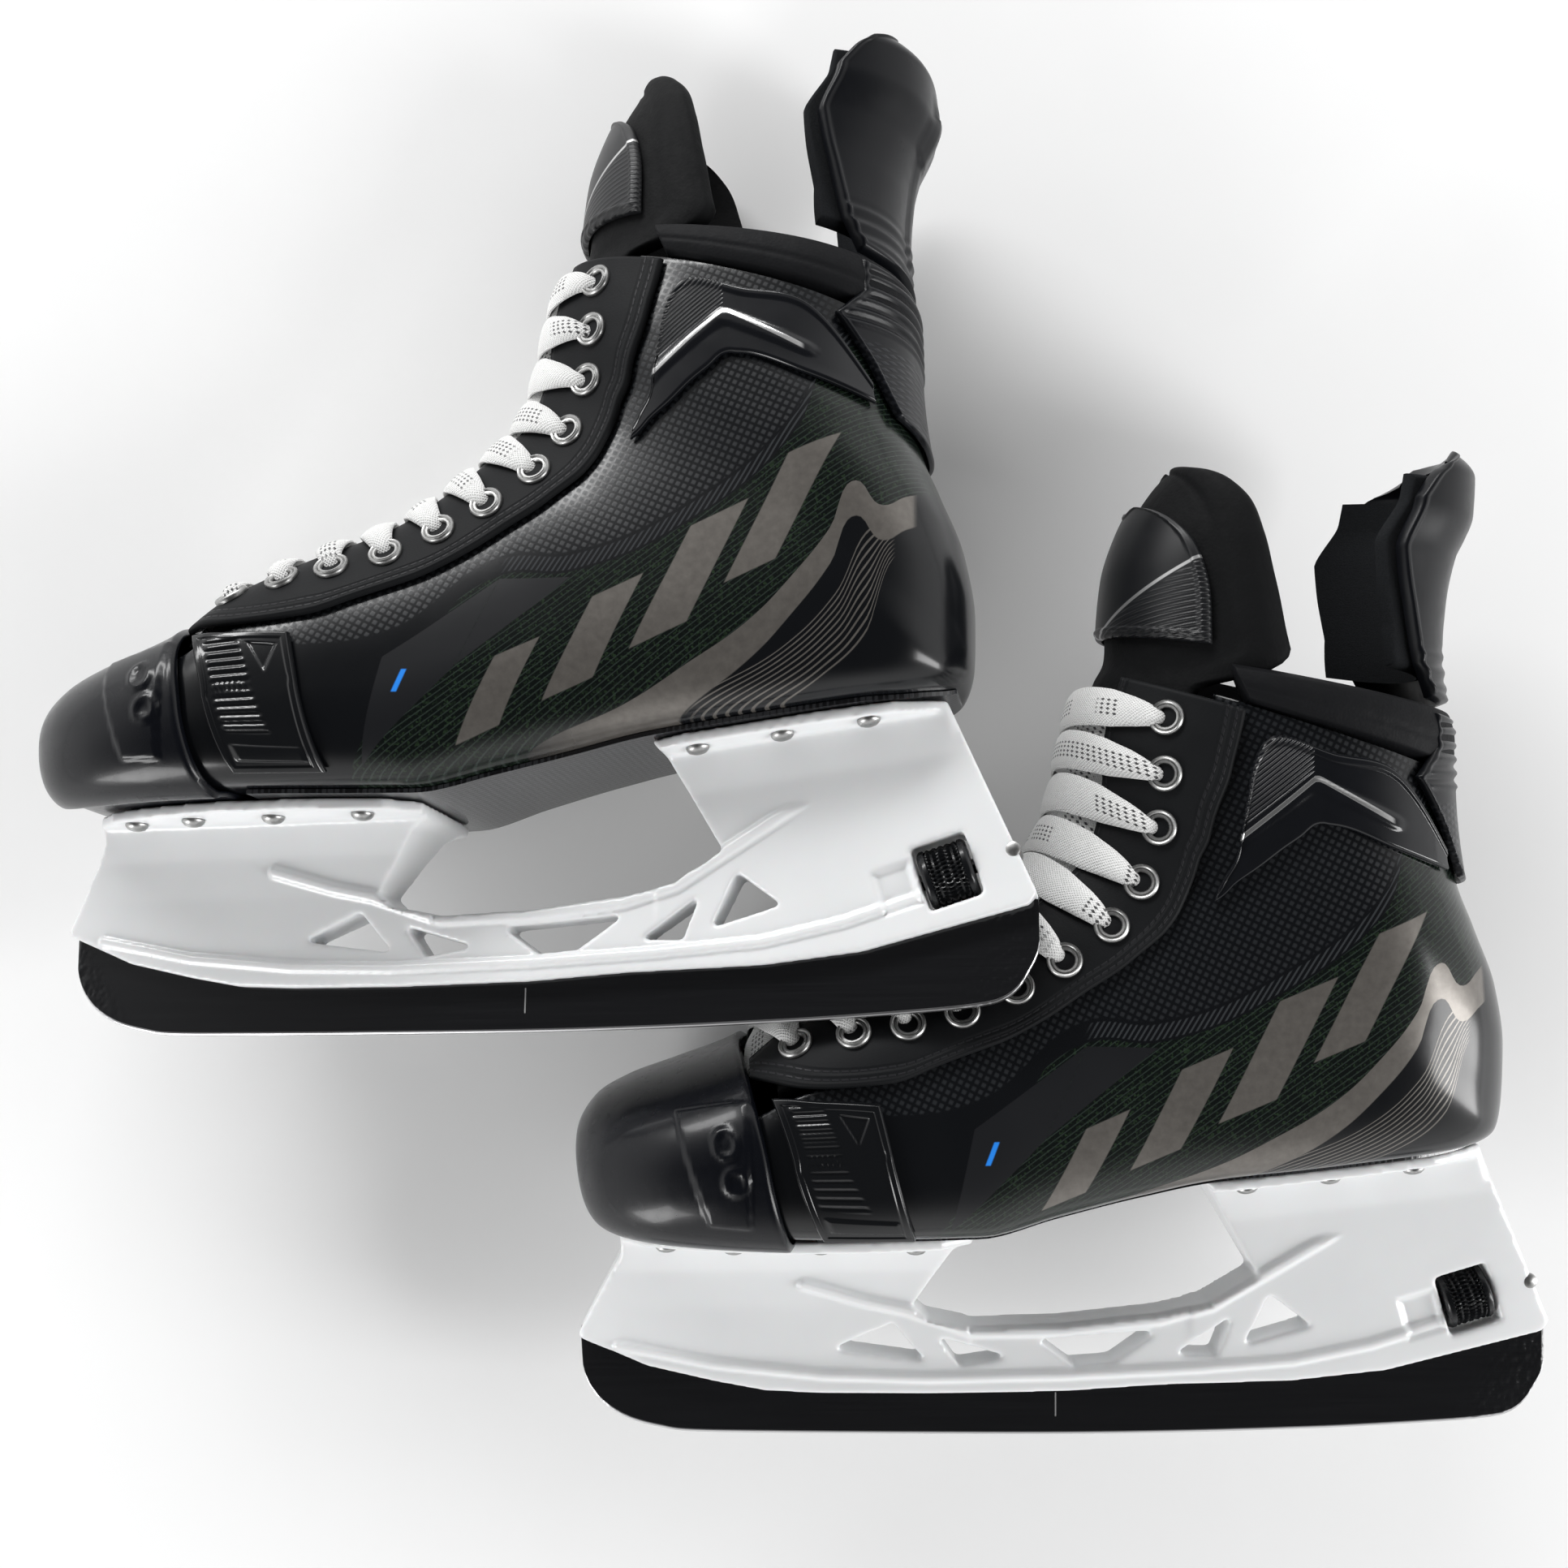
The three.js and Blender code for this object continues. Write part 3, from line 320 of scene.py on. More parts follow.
def grid_solid(top, low, e=None, loop=False):
    """A closed sheet with thickness between two grids of points: (points, quads, e)."""
    n, m = top.shape[:2]
    ids = np.arange(n * m).reshape(n, m)
    if loop:
        ids = np.concatenate([ids, ids[:, :1]], 1)
    size = n * m

    def quads(a, b, c, d):
        return np.stack([v.ravel() for v in (a, b, c, d)], -1)

    faces = [quads(ids[:-1, :-1], ids[1:, :-1], ids[1:, 1:], ids[:-1, 1:])]
    faces.append(faces[0][:, ::-1] + size)
    for row, flip in ((ids[0], False), (ids[-1], True)):
        rim = quads(row[:-1], row[1:], row[1:] + size, row[:-1] + size)
        faces.append(rim[:, ::-1] if flip else rim)
    if not loop:
        for column, flip in ((ids[:, 0], True), (ids[:, -1], False)):
            rim = quads(column[:-1], column[1:], column[1:] + size, column[:-1] + size)
            faces.append(rim[:, ::-1] if flip else rim)
    points = np.concatenate([top.reshape(-1, 3), low.reshape(-1, 3)])
    faces = np.concatenate(faces)
    e = np.zeros((n, m, 3)) if e is None else e
    flat = e.reshape(-1, 3)
    return points, outward(points, faces), np.concatenate([flat, flat])


def merged(parts):
    points, faces, marks, offset = [], [], [], 0
    for p, f, e in parts:
        points.append(p)
        faces.append(f + offset)
        marks.append(e)
        offset += len(p)
    return np.concatenate(points), np.concatenate(faces), np.concatenate(marks)


def spread(count, ends=0.75):
    """Shares 0 to 1, closer together near both ends."""
    t = np.linspace(0, 1, count)
    return t - ends * np.sin(2 * np.pi * t) / (2 * np.pi)


def outline_sides(corners):
    """A corner of each side of a convex outline, and the normal pointing into it."""
    corners = np.array(corners, float)
    middle = corners.mean(0)
    for a, b in zip(corners, np.roll(corners, -1, 0)):
        n = np.array([b[1] - a[1], a[0] - b[0]])
        n /= np.linalg.norm(n)
        yield a, -n if n.dot(middle - a) < 0 else n


def smooth(v, low, high):
    t = np.clip((v - low) / (high - low), 0, 1)
    return t * t * (3 - 2 * t)


def slab(U, G, outer, inner, soft=1.6, relief=None):
    """A layer over the form with rounded edges. e holds the distance along the piece and
    from each of its long edges, mm."""
    flat = skin(U, G, 0)
    run, across = arc(flat, 0), arc(flat, 1)
    near, far = across, across[:, -1:] - across
    ends = np.minimum(run, run[-1:] - run)
    d = np.minimum(np.minimum(near, far), ends)
    outer = np.broadcast_to(outer, U.shape).astype(float)
    inner = np.broadcast_to(inner, U.shape).astype(float)
    e = np.stack([run, near, far], -1)
    if relief is not None:
        outer = outer + relief(flat[..., 0], flat[..., 2], e, ends) * smooth(d, 0, soft)
    corner = np.sqrt(1 - (1 - np.clip(d / soft, 0, 1)) ** 2)
    outer = inner + (outer - inner) * (EDGE_KEEP + (1 - EDGE_KEEP) * corner)
    return grid_solid(skin(U, G, outer), skin(U, G, inner), e)


def wrap(first, last, count, rows, girth, ends=0.75):
    """Rungs and girths of a layer wrapped round the form: girth(u) is the far edge's."""
    u = first + (last - first) * spread(count, ends)
    j = spread(rows, ends)
    U = np.repeat(u[:, None], rows, 1)
    low, high = girth(u)
    return U, low[:, None] + (high - low)[:, None] * j[None, :]


def panel(side, lower, upper, count, rows, ends=0.75):
    """Rungs and girths of a panel between two side-view lines on one side of the boot."""
    i = spread(count, ends)
    low = run_through([spot(*p) for p in lower], i)
    high = run_through([spot(*p) for p in upper], i)
    j = spread(rows, ends)[None, :]
    U = low[:, :1] + (high[:, :1] - low[:, :1]) * j
    G = low[:, 1:] + (high[:, 1:] - low[:, 1:]) * j
    return U, side * G


def lathe(profile, centre, axis, sides=28):
    """Turns (radius, height) pairs round an axis through centre. e holds the height."""
    axis = np.asarray(axis, float) / np.linalg.norm(axis)
    other = np.array([1.0, 0, 0]) if abs(axis[0]) < 0.8 else np.array([0, 1.0, 0])
    a = np.cross(axis, other)
    a /= np.linalg.norm(a)
    b = np.cross(axis, a)
    profile = np.array(profile, float)
    angle = np.linspace(0, 2 * np.pi, sides, endpoint=False)
    ring = np.cos(angle)[:, None] * a + np.sin(angle)[:, None] * b
    points = (centre + profile[:, 1][:, None, None] * axis
              + np.maximum(profile[:, 0], 1e-3)[:, None, None] * ring[None])
    ids = np.arange(len(profile) * sides).reshape(len(profile), sides)
    ids = np.concatenate([ids, ids[:, :1]], 1)
    faces = np.stack([ids[:-1, :-1], ids[1:, :-1], ids[1:, 1:], ids[:-1, 1:]], -1).reshape(-1, 4)
    flat = points.reshape(-1, 3)
    marks = np.repeat(profile, sides, 0)
    e = np.stack([marks[:, 0], marks[:, 1], np.tile(angle, len(profile))], -1)
    return flat, outward(flat, faces), e


def mesh_object(name, foot, points, faces, marks, material):
    """A smooth object in the row frame. marks are point attributes, and p is added to them."""
    mesh = bpy.data.meshes.new(f"{foot}_{name}_mesh")
    mesh.from_pydata(to_row(foot, points).tolist(), [], faces)
    for key, values in {"p": points, **marks}.items():
        mark = mesh.attributes.new(key, "FLOAT_VECTOR", "POINT")
        mark.data.foreach_set("vector", np.ascontiguousarray(values, np.float32).ravel())
    mesh.shade_smooth()
    mesh.materials.append(material)
    piece = bpy.data.objects.new(f"{foot}_{name}_visual", mesh)
    bpy.context.scene.collection.objects.link(piece)
    return piece


def add_piece(name, foot, solid, material):
    points, faces, e = solid
    if volume(to_row(foot, points), faces) < 0:
        faces = faces[:, ::-1]
    piece = mesh_object(name, foot, points, faces.tolist(), {"e": e}, material)
    piece.data.set_sharp_from_angle(angle=math.radians(SHARP_ANGLE))
    return piece


# ---- materials ---------------------------------------------------------------------------
class Look:
    """A principled material and short ways to add nodes to it."""

    def __init__(self, name, **sockets):
        self.material = bpy.data.materials.new(name)
        self.material.use_nodes = True
        tree = self.material.node_tree
        self.nodes, self.links = tree.nodes, tree.links
        self.shader = self.nodes["Principled BSDF"]
        for key, value in sockets.items():
            socket = self.shader.inputs[key.replace("_", " ")]
            socket.default_value = (*value, 1) if isinstance(value, tuple) else value
        self.height = None

    def put(self, socket, value):
        if hasattr(value, "is_output"):
            self.links.new(value, socket)
        elif isinstance(value, tuple) and len(value) == 3 and socket.type == "RGBA":
            socket.default_value = (*value, 1)
        else:
            socket.default_value = value

    def node(self, kind, inputs=(), out=0, **props):
        node = self.nodes.new(kind)
        for key, value in props.items():
            setattr(node, key, value)
        for key, value in dict(inputs).items():
            self.put(node.inputs[key], value)
        return node.outputs[out]

    def do(self, operation, a, b=0.0, c=0.0):
        return self.node("ShaderNodeMath", {0: a, 1: b, 2: c}, operation=operation)

    def split(self, name):
        vector = self.node("ShaderNodeAttribute", out="Vector", attribute_name=name)
        parts = self.nodes.new("ShaderNodeSeparateXYZ")
        self.links.new(vector, parts.inputs[0])
        return [vector, *parts.outputs]

    def step(self, value, low, high):
        return self.node("ShaderNodeMapRange", {"Value": value, "From Min": low,
                         "From Max": high}, interpolation_type="SMOOTHSTEP")

    def near(self, value, centre, half, soft):
        gap = self.do("ABSOLUTE", self.do("SUBTRACT", value, centre))
        return self.do("SUBTRACT", 1.0, self.step(gap, half - soft, half + soft))

    def all(self, *values):
        result = values[0]
        for value in values[1:]:
            result = self.do("MULTIPLY", result, value)
        return result

    def lines(self, value, pitch, half, soft):
        """1 on lines of that half width repeated every pitch."""
        gap = self.do("PINGPONG", value, pitch / 2)
        return self.do("SUBTRACT", 1.0, self.step(gap, half - soft, half + soft))

    def mixed(self, kind, sockets, out, factor, a, b):
        node = self.nodes.new("ShaderNodeMix")
        node.data_type = kind
        for socket, value in zip(sockets, (factor, a, b)):
            self.put(node.inputs[socket], value)
        return node.outputs[out]

    def mix(self, factor, a, b):
        return self.mixed("RGBA", (0, 6, 7), 2, factor, a, b)

    def blend(self, factor, a, b):
        return self.mixed("FLOAT", (0, 2, 3), 0, factor, a, b)

    def noise(self, vector, scale, detail=2.0, rough=0.5):
        return self.node("ShaderNodeTexNoise", {"Vector": vector, "Scale": scale,
                         "Detail": detail, "Roughness": rough})

    def cells(self, vector, scale, out="Distance", feature="F1"):
        return self.node("ShaderNodeTexVoronoi", {"Vector": vector, "Scale": scale,
                         "Randomness": 1.0}, out=out, feature=feature)

    def line(self, x, points, handles="AUTO"):
        """Height of a smooth side-view line above x, mm."""
        node = self.nodes.new("ShaderNodeFloatCurve")
        curve = node.mapping.curves[0]
        pairs = [((px + CHART / 2) / CHART, pz / CHART) for px, pz in points]
        pairs = [(0, pairs[0][1]), *pairs, (1, pairs[-1][1])]
        curve.points[0].location = pairs[0]
        curve.points[1].location = pairs[-1]
        for pair in pairs[1:-1]:
            curve.points.new(*pair)
        for point in curve.points:
            point.handle_type = handles
        node.mapping.update()
        self.put(node.inputs["Factor"], 1.0)
        self.put(node.inputs["Value"], self.do("MULTIPLY_ADD", x, 1 / CHART, 0.5))
        return self.do("MULTIPLY", node.outputs[0], float(CHART))

    def inside(self, x, z, corners, soft=0.25):
        """1 inside a convex side-view outline."""
        masks = []
        for a, n in outline_sides(corners):
            depth = self.do("MULTIPLY_ADD", x, n[0], self.do("MULTIPLY_ADD", z, n[1], -n.dot(a)))
            masks.append(self.step(depth, -soft, soft))
        return self.all(*masks)

    def colour(self, value, socket="Base Color"):
        self.put(self.shader.inputs[socket], value)

    def rough(self, value):
        self.colour(value, "Roughness")

    def metal(self, value):
        self.colour(value, "Metallic")

    def bump(self, height, strength, distance=0.0003):
        node = self.nodes.new("ShaderNodeBump")
        node.inputs["Strength"].default_value = strength
        node.inputs["Distance"].default_value = distance
        self.put(node.inputs["Height"], height)
        if self.height is not None:
            self.links.new(self.height, node.inputs["Normal"])
        self.height = node.outputs[0]
        self.links.new(self.height, self.shader.inputs["Normal"])


BLACK = (0.004, 0.0045, 0.0055)


def shell_look():
    look = Look("gloss_shell", Roughness=0.2, Coat_Weight=0.12, Coat_Roughness=0.12,
                Specular_IOR_Level=0.3)
    p, x, _, z = look.split("p")
    slant = look.do("MULTIPLY_ADD", z, -0.62, x)
    top = look.line(x, [(-60, 103), (-32, 107), (1, 130), (22, 130), (55, 142), (90, 170),
                        (100, 196)])
    stripe = look.line(x, [(-10, 70), (10, 80.5), (40, 92), (55, 100), (75, 112.5), (87, 124),
                           (99, 139), (106, 153), (113, 146), (120, 150), (135, 158)])
    high = look.do("SUBTRACT", z, top)
    over = look.do("SUBTRACT", z, stripe)
    right = look.step(slant, -88, -87.5)
    field = look.all(look.step(over, 0, 0.5), look.step(high, 0.3, -0.3), right)
    # Metallic flakes under fine slanted pinstripes.
    flakes = look.step(look.cells(p, 1.6, "Color"), 0.55, 0.95)
    green = look.mix(flakes, (0.003, 0.0045, 0.004), (0.014, 0.026, 0.013))
    pins = look.lines(look.do("MULTIPLY_ADD", x, -0.72, z), 1.9, 0.2, 0.12)
    green = look.mix(look.do("MULTIPLY", pins, 0.7), green, (0.026, 0.036, 0.031))
    colour = look.mix(field, BLACK, green)
    # Short ticks above the field, and dots of woven fibre between them and the facing.
    ticks = look.all(look.lines(slant, 1.7, 0.32, 0.15), look.step(high, 0.6, 1.0),
                     look.step(high, 5.6, 5.0), look.step(x, 0, 4))
    colour = look.mix(look.do("MULTIPLY", ticks, 0.5), colour, (0.06, 0.065, 0.07))
    weave_a = look.lines(look.do("MULTIPLY_ADD", x, 0.5, z), 2.4, 0.7, 0.35)
    weave_b = look.lines(look.do("MULTIPLY_ADD", z, -0.5, x), 2.4, 0.7, 0.35)
    dots = look.all(weave_a, weave_b, look.step(high, 6, 7))
    colour = look.mix(look.do("MULTIPLY", dots, 0.6), colour, (0.018, 0.02, 0.023))
    # Dark satin wedge with a small blue mark.
    wedge = look.do("MAXIMUM",
                    look.inside(x, z, [(-39, 74), (-32.5, 105.4), (0.7, 129), (-11.4, 102.4)]),
                    look.inside(x, z, [(-11.4, 102.4), (0.7, 129), (22, 128.4)]))
    colour = look.mix(wedge, colour, (0.008, 0.0085, 0.01))
    blue = look.inside(x, z, [(-29.3, 94.8), (-27.8, 94.8), (-25.2, 101.6), (-26.7, 101.6)])
    colour = look.mix(blue, colour, (0.02, 0.22, 0.75))
    # Plain slanted bars.
    bars = None
    for x0, z0, wide, tall in ((-12, 80, 13, 25), (14, 92, 15, 30), (40, 106, 17, 36),
                               (68, 124, 15, 38)):
        lean = 0.5 * tall
        corners = [(x0, z0), (x0 + wide, z0 + 0.42 * wide),
                   (x0 + wide + lean, z0 + tall + 0.42 * wide), (x0 + lean, z0 + tall)]
        bar = look.inside(x, z, corners)
        bars = bar if bars is None else look.do("MAXIMUM", bars, bar)
    bars = look.all(bars, look.step(over, 0, 0.5), look.step(high, 0.3, -0.3))
    # The sweeping stripe, and a fan of pinstripes under it at the heel.
    taper = look.step(x, -5, 40)
    band = look.all(look.step(over, 0.3, 0.0), taper,
                    look.step(look.do("ADD", over, look.blend(taper, 3.0, 10.5)), -0.3, 0.3),
                    look.step(x, 123, 121))
    first = look.line(x, [(40, 84), (60, 93), (85, 105), (100, 119), (112, 140)])
    last = look.line(x, [(40, 74), (75, 88), (95, 97), (108, 108), (118, 132)])
    fan_share = look.do("DIVIDE", look.do("SUBTRACT", z, last),
                        look.do("MAXIMUM", look.do("SUBTRACT", first, last), 0.1))
    fan = look.all(look.lines(fan_share, 1 / 9, 0.016, 0.006), look.step(fan_share, -0.02, 0),
                   look.step(fan_share, 1.02, 1), look.step(x, 52, 62),
                   look.step(x, 117, 115))
    silver = look.do("MAXIMUM", look.do("MAXIMUM", bars, band), fan)
    wear = look.noise(p, 0.35, 4.0, 0.6)
    metal = look.mix(wear, (0.1, 0.092, 0.084), (0.2, 0.186, 0.17))
    look.colour(look.mix(silver, colour, metal))
    look.metal(look.do("MULTIPLY", silver, 0.55))
    smudge = look.noise(p, 0.06, 5.0, 0.6)
    base = look.blend(smudge, 0.16, 0.26)
    base = look.blend(dots, base, 0.42)
    base = look.blend(silver, base, 0.32)
    look.rough(look.blend(wedge, base, 0.34))
    look.bump(dots, 0.08, 0.0002)
    look.bump(look.noise(p, 0.15, 3.0), 0.03, 0.001)
    return look.material


def facing_look():
    """Matte synthetic leather with dashed stitching beside its long edges."""
    look = Look("matte_facing", Roughness=0.6, Specular_IOR_Level=0.12)
    p, *_ = look.split("p")
    _, run, near, far = look.split("e")
    dash = look.step(look.do("PINGPONG", run, 1.35), 0.28, 0.42)
    rows = look.do("MAXIMUM", look.near(near, 2.4, 0.32, 0.12), look.near(near, 5.2, 0.32, 0.12))
    rows = look.do("MAXIMUM", rows, look.near(far, 2.6, 0.32, 0.12))
    thread = look.all(rows, dash)
    groove = look.do("MAXIMUM", look.near(near, 2.4, 0.9, 0.5), look.near(near, 5.2, 0.9, 0.5))
    groove = look.do("MAXIMUM", groove, look.near(far, 2.6, 0.9, 0.5))
    tone = look.mix(look.noise(p, 0.08, 4.0, 0.6), (0.0045, 0.005, 0.0058), (0.008, 0.0086, 0.0096))
    look.colour(look.mix(thread, tone, (0.016, 0.016, 0.018)))
    look.rough(look.blend(thread, 0.58, 0.38))
    look.bump(look.do("SUBTRACT", look.do("MULTIPLY", thread, 1.2), groove), 0.5, 0.0004)
    look.bump(look.cells(p, 1.3), 0.12, 0.0002)
    look.bump(look.noise(p, 2.4, 3.0), 0.12, 0.0002)
    return look.material


def leather_look(name, dark, light, rough):
    look = Look(name, Roughness=rough, Specular_IOR_Level=0.13)
    p, *_ = look.split("p")
    look.colour(look.mix(look.noise(p, 0.1, 5.0, 0.6), dark, light))
    look.rough(look.blend(look.noise(p, 0.5, 3.0), rough - 0.08, rough + 0.08))
    look.bump(look.cells(p, 1.1), 0.2, 0.0003)
    look.bump(look.noise(p, 0.12, 3.0), 0.2, 0.002)
    return look.material


def felt_look():
    look = Look("felt", Roughness=1.0, Specular_IOR_Level=0.1)
    p, *_ = look.split("p")
    fibres = look.noise(p, 1.8, 6.0, 0.75)
    look.colour(look.mix(fibres, (0.004, 0.0045, 0.005), (0.022, 0.0235, 0.026)))
    look.bump(fibres, 0.6, 0.0008)
    return look.material


def guard_look():
    """Satin moulded plastic with a fine pattern of dots on the tendon base."""
    look = Look("guard_rubber", Roughness=0.42, Specular_IOR_Level=0.2)
    p, x, _, z = look.split("p")
    a = look.lines(look.do("MULTIPLY_ADD", x, 0.577, z), 2.3, 0.62, 0.3)
    b = look.lines(look.do("MULTIPLY_ADD", x, -0.577, z), 2.3, 0.62, 0.3)
    dots = look.all(a, b, look.step(z, 201, 199))
    look.colour(look.mix(dots, (0.004, 0.0045, 0.006), (0.012, 0.013, 0.016)))
    look.rough(look.blend(look.noise(p, 0.2, 4.0), 0.22, 0.4))
    look.bump(dots, 0.3, 0.0003)
    look.bump(look.noise(p, 3.0, 2.0), 0.08, 0.0002)
    return look.material


def ankle_look():
    """Gloss plastic: fine ribs above a thin silver chevron."""
    look = Look("ankle_panel", Roughness=0.16, Specular_IOR_Level=0.4)
    p, x, _, z = look.split("p")
    peak = look.line(x, [(20, 168), (41, 186), (67.4, 207.5), (69, 207.5), (91.6, 195),
                         (120, 180)], "VECTOR")
    gap = look.do("SUBTRACT", z, peak)
    line = look.all(look.near(gap, 0, 0.75, 0.25), look.step(x, 41, 44), look.step(x, 92, 90))
    ribs = look.all(look.lines(look.do("MULTIPLY_ADD", x, -0.8, z), 1.5, 0.3, 0.2),
                    look.step(gap, 2.0, 2.6), look.step(x, 68, 66))
    tone = look.noise(p, 0.1, 4.0)
    black = look.mix(tone, (0.004, 0.0045, 0.0055), (0.007, 0.0075, 0.0095))
    look.colour(look.mix(line, black, (0.62, 0.62, 0.62)))
    look.metal(look.do("MULTIPLY", line, 0.9))
    look.rough(look.blend(ribs, look.blend(tone, 0.1, 0.22), 0.5))
    look.bump(ribs, 0.5, 0.0004)
    return look.material


def shield_look():
    """Smooth satin cover with one silver line and a ribbed corner below it."""
    look = Look("tongue_shield", Roughness=0.36, Specular_IOR_Level=0.35)
    p, x, y, z = look.split("p")
    side = look.do("ABSOLUTE", y)
    level = look.do("MULTIPLY_ADD", side, -0.42, look.do("MULTIPLY_ADD", x, -0.35, z))
    line = look.near(level, 247, 0.55, 0.2)
    ribs = look.all(look.lines(look.do("MULTIPLY_ADD", side, -0.3, z), 1.7, 0.35, 0.2),
                    look.step(level, 246, 245))
    tone = look.noise(p, 0.1, 4.0)
    black = look.mix(tone, (0.005, 0.0055, 0.0065), (0.009, 0.0095, 0.011))
    look.colour(look.mix(line, black, (0.5, 0.5, 0.5)))
    look.metal(look.do("MULTIPLY", line, 0.9))
    look.rough(look.blend(tone, 0.3, 0.44))
    look.bump(ribs, 0.5, 0.0004)
    look.bump(look.noise(p, 2.5, 2.0), 0.06, 0.0002)
    return look.material


def plastic_look(name, colour, low, high, coat):
    look = Look(name, Roughness=high, Coat_Weight=coat, Coat_Roughness=0.08,
                Specular_IOR_Level=0.24)
    p, *_ = look.split("p")
    tone = look.noise(p, 0.07, 4.0, 0.6)
    darker = tuple(c * 0.86 for c in colour)
    look.colour(look.mix(tone, darker, colour))
    look.rough(look.blend(look.noise(p, 0.3, 4.0), low, high))
    look.bump(look.noise(p, 2.5, 2.0), 0.06, 0.0002)
    return look.material


def fibre_look():
    look = Look("outsole", Roughness=0.25, Coat_Weight=0.5, Coat_Roughness=0.1)
    _, x, y, _ = look.split("p")
    a = look.lines(look.do("ADD", x, y), 4.0, 1.0, 0.3)
    b = look.lines(look.do("SUBTRACT", x, y), 4.0, 1.0, 0.3)
    weave = look.do("ABSOLUTE", look.do("SUBTRACT", a, b))
    look.colour(look.mix(weave, (0.006, 0.006, 0.007), (0.03, 0.031, 0.034)))
    look.bump(weave, 0.2, 0.0002)
    return look.material


def lace_look():
    """Flat woven cotton: a herringbone of yarns with painted shade between them, and paired rows of
    small black diamonds.
    """
    look = Look("lace_cotton", Roughness=0.95, Sheen_Weight=0.5, Sheen_Roughness=0.6)
    p, *_ = look.split("p")
    _, run, across, marked = look.split("e")
    a = look.do("SINE", look.do("MULTIPLY", look.do("MULTIPLY_ADD", across, 1.3, run), 5.2))
    b = look.do("SINE", look.do("MULTIPLY", look.do("MULTIPLY_ADD", across, -1.3, run), 5.2))
    yarn = look.do("MAXIMUM", a, b)
    fuzz = look.noise(p, 3.2, 5.0, 0.75)
    rows = look.do("PINGPONG", look.do("ADD", across, 1.4), 1.4)
    shape = look.do("ADD", look.do("ABSOLUTE", look.do("SUBTRACT", rows, 0.7)),
                    look.do("MULTIPLY", look.do("PINGPONG", run, 1.3), 0.55))
    patch = look.step(look.noise(look.node("ShaderNodeCombineXYZ", {0: run, 1: marked}), 0.045,
                                 0.0), 0.5, 0.53)
    diamond = look.all(look.step(shape, 0.55, 0.42), patch,
                       look.step(look.do("ABSOLUTE", across), 2.9, 2.7))
    # The grooves between the yarns are painted grey as painted shade, and the yarns' crowns white.
    tone = look.mix(look.step(yarn, -0.6, 0.6), (0.62, 0.62, 0.615), (0.93, 0.93, 0.92))
    tone = look.mix(look.do("MULTIPLY", fuzz, 0.35), tone, (0.95, 0.95, 0.94))
    look.colour(look.mix(diamond, tone, (0.01, 0.01, 0.012)))
    look.bump(yarn, 0.55, 0.0005)
    look.bump(fuzz, 0.35, 0.0005)
    return look.material


def nickel_look():
    look = Look("nickel", Metallic=1.0, Roughness=0.36)
    p, *_ = look.split("p")
    _, radius, *_ = look.split("e")
    worn = look.noise(p, 1.2, 5.0, 0.7)
    tone = look.mix(worn, (0.25, 0.25, 0.25), (0.5, 0.5, 0.49))
    # The eyelet's bore, and the disc that closes it, are painted near black: painted shade.
    hollow = look.step(radius, EYELET_HOLE + 0.15, EYELET_HOLE - 0.1)
    look.colour(look.mix(hollow, tone, (0.01, 0.01, 0.01)))
    look.rough(look.blend(worn, 0.28, 0.46))
    look.bump(worn, 0.12, 0.0002)
    return look.material


def holder_look():
    look = Look("holder_plastic", Roughness=0.3, Coat_Weight=0.25, Coat_Roughness=0.1,
                Subsurface_Weight=0.06, Subsurface_Scale=0.002)
    p, *_ = look.split("p")
    tone = look.noise(p, 0.03, 3.0, 0.6)
    look.colour(look.mix(tone, (0.74, 0.75, 0.76), (0.82, 0.83, 0.835)))
    look.rough(look.blend(look.noise(p, 0.25, 4.0), 0.24, 0.4))
    look.bump(look.noise(p, 1.8, 3.0), 0.05, 0.0002)
    return look.material


def steel_look():
    """Black coated steel, dimpled at both ends, bright along the ground edge."""
    look = Look("black_steel", Roughness=0.16, Coat_Weight=0.4, Coat_Roughness=0.05)
    p, x, _, z = look.split("p")
    _, edge, *_ = look.split("e")
    ends = look.do("MAXIMUM", look.step(look.do("ADD", x, look.do("MULTIPLY", z, -0.6)), 112, 132),
                   look.step(look.do("ADD", x, look.do("MULTIPLY", z, 0.6)), -128, -140))
    dimples = look.cells(p, 0.55, feature="SMOOTH_F1")
    ground = look.step(edge, 1.0, 0.8)
    mark = look.all(look.near(x, -2, 0.2, 0.08), look.step(z, 5.5, 6), look.step(z, 13.5, 13))
    streaks = look.noise(look.node("ShaderNodeVectorMath", {0: p, 1: (0.02, 1.0, 1.2)},
                         operation="MULTIPLY"), 1.5, 4.0)
    tone = look.mix(streaks, (0.006, 0.006, 0.007), (0.014, 0.0145, 0.016))
    tone = look.mix(mark, tone, (0.35, 0.35, 0.35))
    look.colour(look.mix(ground, tone, (0.55, 0.55, 0.56)))
    look.metal(look.blend(ground, 0.25, 1.0))
    look.rough(look.blend(ground, look.blend(streaks, 0.1, 0.2), 0.3))
    look.bump(look.do("MULTIPLY", dimples, ends), 0.5, 0.0006)
    return look.material


LOOKS = {
    "shell": shell_look(),
    "facing": facing_look(),
    "collar": leather_look("collar_leather", (0.003, 0.0032, 0.004),
                           (0.006, 0.0063, 0.0075), 0.66),
    "tongue": leather_look("tongue_leather", (0.002, 0.0022, 0.0025),
                           (0.0045, 0.0048, 0.0055), 0.72),
    "felt": felt_look(),
    "guard": guard_look(),
    "cap": plastic_look("toe_cap", (0.003, 0.0035, 0.0055), 0.2, 0.32, 0.12),
    "side_guard": plastic_look("side_guard", (0.006, 0.0065, 0.0075), 0.1, 0.2, 0.3),
    "ankle": ankle_look(),
    "shield": shield_look(),
    "dial": plastic_look("dial_plastic", (0.005, 0.0055, 0.0065), 0.2, 0.35, 0.2),
    "sole": fibre_look(),
    "lace": lace_look(),
    "nickel": nickel_look(),
    "holder": holder_look(),
    "steel": steel_look(),
}

